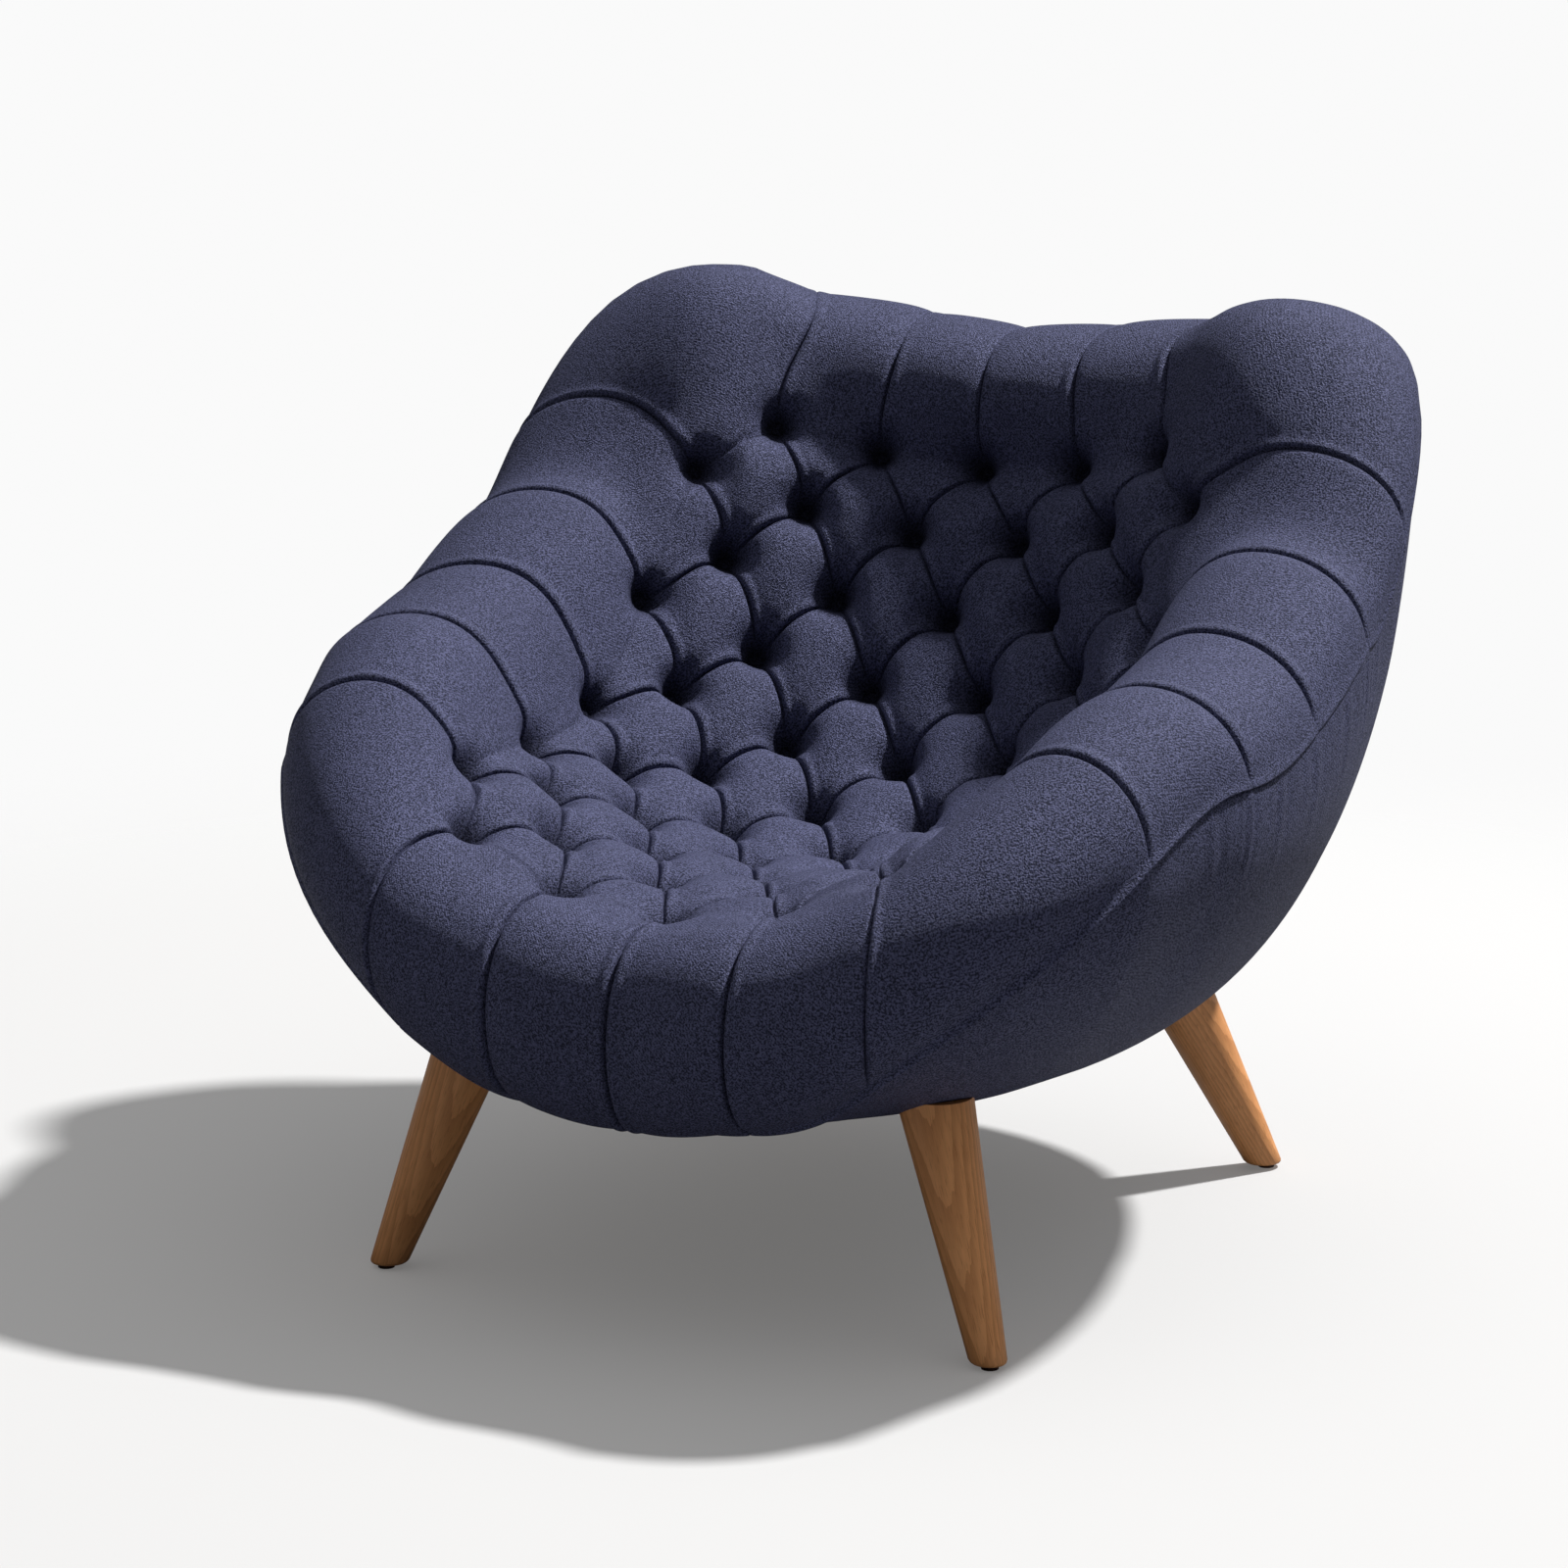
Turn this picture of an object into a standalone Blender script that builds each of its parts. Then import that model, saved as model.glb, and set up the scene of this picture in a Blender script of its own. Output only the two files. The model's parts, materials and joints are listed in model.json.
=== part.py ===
"""Deep-buttoned easy chair: a bucket of tufted pads and a fat pleated rim on four splayed oak legs.

Metres, +Z up, the seat opens towards -Y. The inside is one lattice of buttons. A place on it is (u, r):
u counts button pitches to the right of the middle, and r counts button rows from the top of the back.
The rim is walked by k, one unit for each rim button: 0 at the middle of the back, 10 at the middle of
the front, 20 back at the start. A section of the rim runs from its button over the roll to the seam.
"""
import math

import bmesh
import bpy
import numpy as np
from mathutils import Matrix, Vector

for old in list(bpy.data.objects):
    bpy.data.objects.remove(old, do_unlink=True)

# Button lattice
BUTTON_PITCH = 0.125
ROWS = 10
HALF_COLUMNS = 2.5
FRONT_EDGE_Y = -0.023
PAD_REACH = 0.709
BACK_RISE = 0.358
SEAT_HEIGHT = 0.370
WRAP_DEPTH = 0.070
DISH_DEPTH = 0.120
PITCH_EASE = 0.005
SPINE_ROWS = (0, 2, 4, 6, 8, 10)
EDGE_ROWS = (0, 2.5, 5, 7.5, 10)
SPINE_REACH_SHARES = (1.0, 0.878, 0.720, 0.500, 0.256, 0.0)
SPINE_RISE_SHARES = (1.0, 0.585, 0.193, 0.0, 0.034, 0.075)
PITCH_SHARES = (0.95, 1.025, 1.015, 1.0, 0.975)
WRAP_SHARES = (-0.97, -1.04, -0.89, -0.27, 0.37)
DISH_SHARES = (0.475, 0.75, 0.98, 0.97, 0.80)

# Rim roll: an upright ellipse at each rim button, the ear tip and the front corner
ROLL_RADIUS = 0.100
RIM_STATIONS = (0, 1, 2, 2.5, 3, 4, 5, 6, 7, 7.5, 8, 9, 10)
ROLL_OUT_SHARES = (0.87, 1.09, 1.29, 1.27, 1.22, 1.17, 1.22, 1.20, 0.99, 0.77, 0.55, 0.61, 0.62)
ROLL_UP_SHARES = (0.68, 0.67, 0.72, 0.75, -0.20, 0.14, 0.43, 0.35, -0.08, -0.50, -0.90, -0.91, -0.92)
ROLL_WIDTH_SHARES = (1.08, 1.22, 1.31, 1.24, 1.16, 1.14, 1.18, 1.12, 0.95, 0.87, 0.80, 0.72, 0.61)
ROLL_HEIGHT_SHARES = (0.70, 0.73, 0.79, 0.83, 0.85, 0.93, 0.98, 0.98, 0.96, 0.96, 0.96, 0.95, 0.94)
SECTION_DEGREES = (90, 80, 50, 23, 0, -3, -7, -8, -10, -41, -73, -86, -90)
SEAM_DEGREES = (-16, -11, -6, -4, -2, 3, 8, 8, 0, -32, -62, -85, -106)

# Outer bowl
BASE_HALF_WIDTH = 0.240
BASE_HALF_DEPTH = 0.355
BASE_CENTRE_Y = 0.350
BOWL_DEPTH = 0.160
BASE_HEIGHT = SEAT_HEIGHT - BOWL_DEPTH
BOWL_FULLNESS = 0.80
BOWL_TUCK = 1.17

# Layers, from the skin inwards
PAD_THICKNESS = 0.030
FOAM_THICKNESS = 0.042
SHELL_THICKNESS = 0.008
COVER_THICKNESS = 0.004
GAP = 0.0003
JOINT_GAP = 0.0005
PIT_DEPTH = 0.016
PLEAT_RISE = 0.010
PILLOW_RISE = 0.027
ROLL_PILLOW_RISE = 0.011

# Frame
RAIL_RADIUS = 0.0125
TUBE_ROOM_SHARE = 1.18
RIB_THICKNESS = 0.012
LONG_RIB_X_SHARES = (0.84, 1.81)
SIDE_RIB_Y_SHARES = (0.20, 0.39, 0.58)
SIDE_RIB_START = 0.290
BOARD_THICKNESS = 0.020
BOARD_RISE = 0.035
BOARD_HEIGHT = BASE_HEIGHT + BOARD_RISE
SEAM_GAP = 0.0026
CORE_START_SHARE = 0.35
CORE_SHOULDER = 0.001
DUST_COVER_THICKNESS = 0.0015
DUST_COVER_OVERLAP = 0.008

# Buttons on the tapes that hold them behind the pad
BUTTON_RADIUS = 0.0085
BUTTON_HEIGHT = 0.012
BUTTON_CROWN_SHARE = 0.6
WELL_RADIUS = 0.0112
DRAW_SHARE = 0.75
TAPE_WIDTH = 0.005
TAPE_THICKNESS = 0.0012
TAPE_INSET = 0.003
TAPE_ROOM = 0.0009

# Legs
LEG_TOP_X_SHARE = 1.0376
FRONT_TOP_Y_SHARE = -0.854
BACK_TOP_Y_SHARE = 0.717
LEG_SPLAY_X = 0.331
FRONT_SPLAY_Y = 0.191
BACK_SPLAY_Y = 0.423
LEG_FOOT_RADIUS = 0.0175
LEG_TOP_RADIUS = 0.0370
LEG_EDGE_ROUND = 0.003
LEG_CLEARANCE = 0.0015
GLIDE_RADIUS = 0.0085
GLIDE_HEIGHT = 0.005
NAIL_RADIUS = 0.0015
NAIL_LENGTH = 0.022
BOLT_RADIUS = 0.004
BOLT_IN_LEG = 0.035
BOLT_ABOVE_BOARD = 0.012
WASHER_RADIUS = 0.011
WASHER_THICKNESS = 0.002
NUT_RADIUS = 0.0075
NUT_HEIGHT = 0.0065

OVERRUN = 0.5
SHARP_DEGREES = 40
PROBE_STEP = 0.01
SEAM_FADE_SHARE = 0.25
CORNERS = ((2, 3), (7, 8))
LEG_SIDES = 16
RAIL_SIDES = 6
BUTTON_SIDES = 6
WELL_SIDES = 6
BOLT_SIDES = 8
NUT_SIDES = 6
NAIL_SIDES = 6
GLIDE_SIDES = 12
PAD_STEPS = 4
ROLL_STEPS = 10
LEAD_STEPS = 2
BOWL_STEPS = 6
CENTRE_K = 10

CHAIR = bpy.data.collections.new("easy_chair")
CUTTERS = bpy.data.collections.new("cutters")
for group in (CHAIR, CUTTERS):
    bpy.context.scene.collection.children.link(group)

SEAT_MIDDLE = bpy.data.objects.new("chair_frame", None)
CHAIR.objects.link(SEAT_MIDDLE)


# Curves and surfaces

def spline(stations, values, at, even):
    """Cubic spline through the stations; even ends are level, other ends are straight."""
    stations = np.asarray(stations, float)
    values = np.asarray(values, float)
    steps = np.diff(stations)
    slopes = np.diff(values) / steps
    count = len(stations)
    system = np.zeros((count, count))
    right = np.zeros(count)
    for i in range(1, count - 1):
        system[i, i - 1:i + 2] = steps[i - 1], 2 * (steps[i - 1] + steps[i]), steps[i]
        right[i] = 6 * (slopes[i] - slopes[i - 1])
    system[0, 0] = system[-1, -1] = 1
    if even:
        system[0, :2] = 2 * steps[0], steps[0]
        system[-1, -2:] = steps[-1], 2 * steps[-1]
        right[0] = 6 * slopes[0]
        right[-1] = -6 * slopes[-1]
    bend = np.linalg.solve(system, right)
    at = np.asarray(at, float)
    i = np.clip(np.searchsorted(stations, at) - 1, 0, count - 2)
    after = at - stations[i]
    before = stations[i + 1] - at
    step = steps[i]
    cubic = (bend[i] * before ** 3 + bend[i + 1] * after ** 3) / (6 * step)
    return (cubic + (values[i] / step - bend[i] * step / 6) * before
            + (values[i + 1] / step - bend[i + 1] * step / 6) * after)


def dish(u, r):
    """The level of the buttons and pleats at lattice place (u, r)."""
    u = np.asarray(u, float)
    r = np.asarray(r, float)
    wide = (u / HALF_COLUMNS) ** 2
    pitch = BUTTON_PITCH * spline(EDGE_ROWS, PITCH_SHARES, r, False) - PITCH_EASE * np.abs(u)
    reach = PAD_REACH * spline(SPINE_ROWS, SPINE_REACH_SHARES, r, False)
    rise = BACK_RISE * spline(SPINE_ROWS, SPINE_RISE_SHARES, r, False)
    wrap = WRAP_DEPTH * spline(EDGE_ROWS, WRAP_SHARES, r, False)
    lift = DISH_DEPTH * spline(EDGE_ROWS, DISH_SHARES, r, False)
    return np.stack([u * pitch, FRONT_EDGE_Y + reach + wrap * wide, SEAT_HEIGHT + rise + lift * wide], -1)


def unit(vectors):
    return vectors / np.linalg.norm(vectors, axis=-1, keepdims=True)


def dish_normal(u, r):
    """Unit normal of the dish, towards the sitter."""
    across = dish(u + PROBE_STEP, r) - dish(u - PROBE_STEP, r)
    along = dish(u, np.asarray(r) + PROBE_STEP) - dish(u, np.asarray(r) - PROBE_STEP)
    return unit(np.cross(along, across))


def rim_place(k):
    """Lattice place of rim position k on the right half, 0 at the back to 10 at the front."""
    marks = (0, *CORNERS[0], *CORNERS[1], CENTRE_K)
    u = np.interp(k, marks, (0, 2, HALF_COLUMNS, HALF_COLUMNS, 2, 0))
    r = np.interp(k, marks, (0, 0, 1, ROWS - 1, ROWS, ROWS))
    return u, r


def right_half(k):
    """Rim positions folded onto the right half, and the sign of x for each."""
    k = np.mod(np.asarray(k, float), 2 * CENTRE_K)
    side = np.where(k > CENTRE_K, -1.0, 1.0)
    return np.where(k > CENTRE_K, 2 * CENTRE_K - k, k), side


def rim_values(k):
    """Sizes and directions of the rim section at each k of the right half."""
    u, r = rim_place(k)
    along = dish(*rim_place(k + PROBE_STEP)) - dish(*rim_place(k - PROBE_STEP))
    turn = np.radians(spline(RIM_STATIONS, SECTION_DEGREES, k, True))
    sizes = [ROLL_RADIUS * spline(RIM_STATIONS, shares, k, True)
             for shares in (ROLL_OUT_SHARES, ROLL_UP_SHARES, ROLL_WIDTH_SHARES, ROLL_HEIGHT_SHARES)]
    return {
        "start": dish(u, r),
        "normal": dish_normal(u, r),
        "aside": unit(np.cross(dish_normal(u, r), along)),
        "out": np.stack([np.cos(turn), np.sin(turn), 0 * turn], -1),
        "sizes": sizes,
        "seam": np.radians(spline(RIM_STATIONS, SEAM_DEGREES, k, True)),
    }


UP = np.array([0.0, 0.0, 1.0])


def section(at, depth):
    """Root, centre, half sizes and first angle of a rim section at a depth below the skin."""
    out_by, up_by, wide, high = at["sizes"]
    wide = wide - depth
    high = high - depth
    root = at["start"] - at["normal"] * np.asarray(depth)[..., None] + at["aside"] * JOINT_GAP
    centre = at["start"] + out_by[..., None] * at["out"] + up_by[..., None] * UP
    across = ((root - centre) * at["out"]).sum(-1) / wide
    upward = (root - centre)[..., 2] / high
    far = np.maximum(np.hypot(across, upward), 1)
    first = np.mod(np.arctan2(upward, across), 2 * math.pi) - np.arccos(1 / far)
    return root, centre, wide, high, first


def bare_roll(k, s, depth):
    """A point of the roll on the right half: straight from the button, then round to the seam."""
    at = rim_values(k)
    root, centre, wide, high, first = section(at, depth)
    lead_share = LEAD_STEPS / ROLL_STEPS
    angle = first + (at["seam"] - first) * np.clip((s - lead_share) / (1 - lead_share), 0, 1)
    point = (centre + (wide * np.cos(angle))[..., None] * at["out"]
             + (high * np.sin(angle))[..., None] * UP)
    lead = np.clip(s / lead_share, 0, 1)[..., None]
    return root * (1 - lead) + point * lead


def roll_point(k, s, depth, proud=None):
    """A point of the roll: s is 0 at the rim button and 1 at the seam, depth is below the skin."""
    k, side = right_half(k)
    point = bare_roll(k, s, depth)
    if proud is not None:
        along = (bare_roll(np.minimum(k + PROBE_STEP, CENTRE_K), s, depth)
                 - bare_roll(np.maximum(k - PROBE_STEP, 0), s, depth))
        down = (bare_roll(k, np.minimum(s + PROBE_STEP, 1), depth)
                - bare_roll(k, np.maximum(s - PROBE_STEP, 0), depth))
        lead = 1 - np.clip(s * ROLL_STEPS / LEAD_STEPS, 0, 1)[..., None]
        face = unit(unit(np.cross(along, down)) * (1 - lead) + rim_values(k)["normal"] * lead)
        point = point + face * proud[..., None]
    point[..., 0] *= side
    return point


def rail_point(k, away, angle):
    """A point at a distance from the rail's centre line, at an angle in the rim section."""
    k, side = right_half(k)
    at = rim_values(k)
    out_by, up_by, _, _ = at["sizes"]
    point = at["start"] + out_by[..., None] * at["out"] + up_by[..., None] * UP
    point = point + away * (np.cos(angle)[..., None] * at["out"] + np.sin(angle)[..., None] * UP)
    point[..., 0] *= side
    return point


def rail_side(k, s):
    """Angles in the section that face the roll from its root, s = 0, to its seam, s = 1."""
    k, _ = right_half(k)
    at = rim_values(k)
    first = section(at, PAD_THICKNESS + 0 * k)[4]
    return first + (at["seam"] - first) * s


def bowl_point(k, s, depth):
    """A point of the outer bowl: s is 0 just below the seam and 1 at the base loop."""
    k, side = right_half(k)
    at = rim_values(k)
    out_by, up_by, wide, high = at["sizes"]
    seam = at["seam"]
    across = (out_by + wide * np.cos(seam))[..., None]
    upward = (up_by + high * np.sin(seam))[..., None]
    first = at["start"] + across * at["out"] + upward * UP
    leave = unit((wide * np.sin(seam))[..., None] * at["out"] - (high * np.cos(seam))[..., None] * UP)
    around = np.arctan2(first[..., 1] - BASE_CENTRE_Y, first[..., 0])
    last = np.stack([BASE_HALF_WIDTH * np.cos(around),
                     BASE_CENTRE_Y + BASE_HALF_DEPTH * np.sin(around),
                     BASE_HEIGHT + 0 * around], -1)
    span = np.linalg.norm(last - first, axis=-1, keepdims=True)
    arrive = unit((last - first) * (1 - UP))
    start = SEAM_GAP / (span * BOWL_FULLNESS)
    t = start + (1 - start) * np.asarray(s, float)[..., None]
    point = ((2 * t ** 3 - 3 * t ** 2 + 1) * first + (t ** 3 - 2 * t ** 2 + t) * leave * span * BOWL_FULLNESS
             + (3 * t ** 2 - 2 * t ** 3) * last + (t ** 3 - t ** 2) * arrive * span * BOWL_TUCK)
    speed = ((6 * t ** 2 - 6 * t) * (first - last) + (3 * t ** 2 - 4 * t + 1) * leave * span * BOWL_FULLNESS
             + (3 * t ** 2 - 2 * t) * arrive * span * BOWL_TUCK)
    level = unit(np.cross(UP, arrive))
    inward = unit(np.cross(speed, level))
    point = point + inward * np.asarray(depth)[..., None]
    point[..., 0] *= side
    return point


# Heights of the tufts

def swell(share):
    """0 at a button or pleat, 1 half way to the next."""
    return np.sin(np.pi * share)


def tuft_height(a, b):
    """Height of the pad over the dish at diagonal lattice place (a, b)."""
    a = swell(np.mod(a, 1))
    b = swell(np.mod(b, 1))
    ridge = 1 - (1 - a) * (1 - b)
    return -PIT_DEPTH + (PLEAT_RISE + PIT_DEPTH) * ridge + (PILLOW_RISE - PLEAT_RISE) * np.sqrt(a * b)


def roll_height(k, s):
    """Height of the pleated roll over its ellipse: tufts at the buttons that fade to low pillows."""
    part = np.mod(k, 1)
    folded, _ = right_half(k)
    at_corner = np.any([(folded > first) & (folded < last) for first, last in CORNERS], axis=0)
    ease = np.clip(s * ROLL_STEPS / (2 * LEAD_STEPS), 0, 1)
    ease = ease ** 2 * (3 - 2 * ease)
    low = ROLL_PILLOW_RISE * (np.sqrt(swell(part)) - 0.5) * np.clip((1 - s) / SEAM_FADE_SHARE, 0, 1)
    return tuft_height(part, np.where(at_corner, 0, part)) * (1 - ease) + low * ease


# Building meshes

def material(name, colour, roughness, metallic=0.0):
    made = bpy.data.materials.new(name)
    made.use_nodes = True
    shader = made.node_tree.nodes["Principled BSDF"]
    shader.inputs["Base Color"].default_value = (*colour, 1.0)
    shader.inputs["Roughness"].default_value = roughness
    shader.inputs["Metallic"].default_value = metallic
    made.diffuse_color = (*colour, 1.0)
    return made


def add_object(name, mesh, look, collection=CHAIR):
    item = bpy.data.objects.new(name, mesh)
    collection.objects.link(item)
    item.parent = SEAT_MIDDLE
    if look is None:
        item.hide_render = True
        item.display_type = "WIRE"
    else:
        own = look.copy()
        own.name = name + "_look"
        mesh.materials.append(own)
    return item


def mesh_from(name, points, faces):
    """A mesh of the faces, with equal points merged and its outside facing out."""
    shape = bmesh.new()
    corners = [shape.verts.new(point) for point in points]
    for face in faces:
        shape.faces.new([corners[i] for i in face])
    bmesh.ops.remove_doubles(shape, verts=shape.verts, dist=GAP / 100)
    bmesh.ops.recalc_face_normals(shape, faces=shape.faces)
    mesh = bpy.data.meshes.new(name)
    shape.to_mesh(mesh)
    shape.free()
    return mesh


def mesh_of(name, shape):
    mesh = bpy.data.meshes.new(name)
    bmesh.ops.recalc_face_normals(shape, faces=shape.faces)
    shape.to_mesh(mesh)
    shape.free()
    return mesh


def lattice_sheet(first_row, last_row, steps):
    """Triangles of the button lattice between two rows, on keys of steps to each diagonal unit."""
    faces = []
    first = -int(HALF_COLUMNS) * steps
    last = (ROWS // 2 + int(HALF_COLUMNS)) * steps
    for x in range(first, last):
        for y in range(first, last):
            square = [(x, y), (x + 1, y), (x + 1, y + 1), (x, y + 1)]
            kept = [key for key in square if in_lattice(key, first_row, last_row, steps)]
            if len(kept) == 4 and x + y + 1 == ROWS // 2 * steps:
                faces += [(kept[0], kept[1], kept[3]), (kept[1], kept[2], kept[3])]
            elif len(kept) == 4:
                faces += [(kept[0], kept[1], kept[2]), (kept[0], kept[2], kept[3])]
            elif len(kept) == 3:
                faces.append(tuple(kept))
    return faces


def in_lattice(key, first_row, last_row, steps):
    a, b = key
    wide = 2 * HALF_COLUMNS * steps
    return abs(a - b) <= wide and first_row * steps <= a + b <= last_row * steps


def lattice_place(keys, steps, first_row, last_row):
    """Lattice (u, r) of diagonal keys, drawn back a little from a joint inside the lattice."""
    a, b = (np.array(keys, float) / steps).T
    inset = GAP / BUTTON_PITCH
    low = first_row + inset if first_row else 0
    high = last_row - inset if last_row < ROWS else ROWS
    return (a - b) / 2, np.clip(a + b, low, high)


def edge_loop(faces):
    """The open edges of a triangle sheet, in the order of its faces."""
    edges = set()
    for face in faces:
        for start, end in zip(face, face[1:] + face[:1]):
            if (end, start) in edges:
                edges.remove((end, start))
            else:
                edges.add((start, end))
    return sorted(edges)


def solid(name, fine_faces, fine_place, coarse_faces, coarse_place, ratio, look):
    """A closed body between a fine upper sheet and a coarse lower one with the same outline."""
    upper = sorted({key for face in fine_faces for key in face})
    lower = sorted({key for face in coarse_faces for key in face})
    points = list(fine_place(upper)) + list(coarse_place(lower))
    top = {key: i for i, key in enumerate(upper)}
    bottom = {key: i + len(upper) for i, key in enumerate(lower)}
    faces = [[top[key] for key in face] for face in fine_faces]
    faces += [[bottom[key] for key in reversed(face)] for face in coarse_faces]
    for start, end in edge_loop(coarse_faces):
        chain = [tuple(start[n] * ratio + (end[n] - start[n]) * ratio * part // ratio for n in (0, 1))
                 for part in range(ratio + 1)]
        middle = ratio // 2
        faces.append([bottom[start], bottom[end], top[chain[middle]]])
        for near, far in zip(chain[:middle], chain[1:]):
            faces.append([bottom[start], top[far], top[near]])
        for near, far in zip(chain[middle:], chain[middle + 1:]):
            faces.append([bottom[end], top[far], top[near]])
    return add_object(name, mesh_from(name, points, faces), look)


def dish_layer(name, first_row, last_row, upper_depth, lower_depth, look):
    """A smooth layer of the dish between two depths."""
    steps = PAD_STEPS // 2
    faces = lattice_sheet(first_row, last_row, steps)

    def place_at(depth):
        def place(keys):
            u, r = lattice_place(keys, steps, first_row, last_row)
            return dish(u, r) - dish_normal(u, r) * depth
        return place
    return solid(name, faces, place_at(upper_depth), faces, place_at(lower_depth), 1, look)


def tufted_pad(name, first_row, last_row, look):
    def tufted(keys):
        u, r = lattice_place(keys, PAD_STEPS, first_row, last_row)
        a, b = np.array(keys, float).T / PAD_STEPS
        return dish(u, r) + dish_normal(u, r) * tuft_height(a, b)[:, None]

    def flat(keys):
        u, r = lattice_place(keys, PAD_STEPS // 2, first_row, last_row)
        return dish(u, r) - dish_normal(u, r) * PAD_THICKNESS
    fine = lattice_sheet(first_row, last_row, PAD_STEPS)
    coarse = lattice_sheet(first_row, last_row, PAD_STEPS // 2)
    return solid(name, fine, tufted, coarse, flat, 2, look)


def strip_faces(first, last, rows):
    """Triangles of a strip of columns first to last and the given rows."""
    faces = []
    for x in range(first, last):
        for y in range(rows):
            faces.append(((x, y), (x + 1, y), (x + 1, y + 1)))
            faces.append(((x, y), (x + 1, y + 1), (x, y + 1)))
    return faces


def rim_pad(name, first_k, last_k, look):
    """A pleated roll pad between two rim buttons."""
    half = PAD_STEPS // 2

    def spread(keys, steps, rows):
        x, y = np.array(keys, float).T
        k = x / steps
        inset = GAP / BUTTON_PITCH
        return np.clip(k, first_k + inset, last_k - inset), y / rows, k

    def pleated(keys):
        k, s, even_k = spread(keys, PAD_STEPS, ROLL_STEPS)
        points = roll_point(k, s, 0 * s, roll_height(even_k, s))
        index = {key: i for i, key in enumerate(keys)}
        for x in range(first_k * PAD_STEPS + 1, last_k * PAD_STEPS, 2):
            before = points[index[x - 1, ROLL_STEPS]]
            points[index[x, ROLL_STEPS]] = (before + points[index[x + 1, ROLL_STEPS]]) / 2
        return points

    def flat(keys):
        k, s, _ = spread(keys, half, ROLL_STEPS // 2)
        return roll_point(k, s, PAD_THICKNESS + 0 * s)
    fine = strip_faces(first_k * PAD_STEPS, last_k * PAD_STEPS, ROLL_STEPS)
    coarse = strip_faces(first_k * half, last_k * half, ROLL_STEPS // 2)
    return solid(name, fine, pleated, coarse, flat, 2, look)


def ring_solid(name, columns, rows, outer, inner, look):
    """A closed band round the whole rim: outer and inner give points for arrays of k and share."""
    k = np.arange(columns) * (2 * CENTRE_K / columns)
    shares = np.arange(rows + 1) / rows
    grid_k, grid_s = np.meshgrid(k, shares, indexing="ij")
    points = np.concatenate([outer(grid_k, grid_s).reshape(-1, 3), inner(grid_k, grid_s).reshape(-1, 3)])
    faces = []

    def index(side, x, y):
        return side * columns * (rows + 1) + (x % columns) * (rows + 1) + y
    for x in range(columns):
        for y in range(rows):
            near = [index(0, x, y), index(0, x + 1, y), index(0, x + 1, y + 1), index(0, x, y + 1)]
            far = [index(1, x, y), index(1, x + 1, y), index(1, x + 1, y + 1), index(1, x, y + 1)]
            faces += [near[:3], [near[0], near[2], near[3]]]
            faces += [[far[0], far[2], far[1]], [far[0], far[3], far[2]]]
        for y in (0, rows):
            faces.append([index(0, x, y), index(0, x + 1, y), index(1, x + 1, y)])
            faces.append([index(0, x, y), index(1, x + 1, y), index(1, x, y)])
    return add_object(name, mesh_from(name, points, faces), look)


def cut(target, cutter, operation="DIFFERENCE"):
    """Apply one exact Boolean to the target."""
    step = target.modifiers.new("cut", "BOOLEAN")
    step.operation = operation
    step.object = cutter
    step.solver = "EXACT"
    graph = bpy.context.evaluated_depsgraph_get()
    graph.update()
    done = bpy.data.meshes.new_from_object(target.evaluated_get(graph))
    target.modifiers.clear()
    target.data = done


# Buttons and turned pieces

def cone_shape(shape, low_radius, high_radius, low, high, sides):
    """A cone or cylinder from the point low to the point high, added to a bmesh."""
    low = Vector(low)
    high = Vector(high)
    axis = high - low
    aim = axis.to_track_quat("Z", "Y").to_matrix().to_4x4() @ Matrix.Rotation(math.pi / sides, 4, "Z")
    bmesh.ops.create_cone(shape, cap_ends=True, segments=sides, radius1=low_radius, radius2=high_radius,
                          depth=axis.length, matrix=Matrix.Translation((low + high) / 2) @ aim)


def button_places():
    """Line, point and normal of each button, row by row from the top of the back."""
    places = []
    for row in range(ROWS + 1):
        shift = 0.5 * (row % 2)
        for u in np.arange(-2 - shift, 2 + shift + 1):
            point = dish(np.array([u]), np.array([float(row)]))[0]
            normal = dish_normal(np.array([u]), np.array([float(row)]))[0]
            places.append((u, Vector(point), Vector(normal)))
    return places


BUTTONS = button_places()
TAPE_TOP = PAD_THICKNESS + TAPE_ROOM
FOAM_TOP = TAPE_TOP + TAPE_THICKNESS + TAPE_ROOM
FOAM_BOTTOM = FOAM_TOP + FOAM_THICKNESS
SHELL_TOP = FOAM_BOTTOM + GAP
SHELL_BOTTOM = SHELL_TOP + SHELL_THICKNESS
CORE_TOP = SHELL_BOTTOM + GAP


def tape_mesh(name, u):
    """A flat tape between pad and foam, along one line of buttons from the top to the front."""
    rows = np.arange(int(2 * abs(u)) % 2, ROWS + 1)
    rows = rows[:-1] if (rows[-1] - rows[0]) % 2 else rows
    edge = HALF_COLUMNS - TAPE_INSET / BUTTON_PITCH
    across = np.full(len(rows), min(max(u, -edge), edge))
    normal = dish_normal(across, rows)
    middle = dish(across, rows) - normal * (TAPE_TOP + TAPE_THICKNESS / 2)
    middle[0] += unit(middle[1] - middle[0]) * TAPE_INSET
    middle[-1] += unit(middle[-2] - middle[-1]) * TAPE_INSET
    aside = unit(np.cross(np.gradient(middle, axis=0), normal)) * TAPE_WIDTH / 2
    raised = normal * TAPE_THICKNESS / 2
    points = [place + x * beside + y * above for place, beside, above in zip(middle, aside, raised)
              for x, y in ((1, 1), (-1, 1), (-1, -1), (1, -1))]
    faces = [[4 * i + j, 4 * i + 4 + j, 4 * i + 4 + (j + 1) % 4, 4 * i + (j + 1) % 4]
             for i in range(len(rows) - 1) for j in range(4)]
    faces += [[0, 1, 2, 3], [len(points) - 4 + j for j in range(4)]]
    return mesh_from(name, points, faces)


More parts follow.
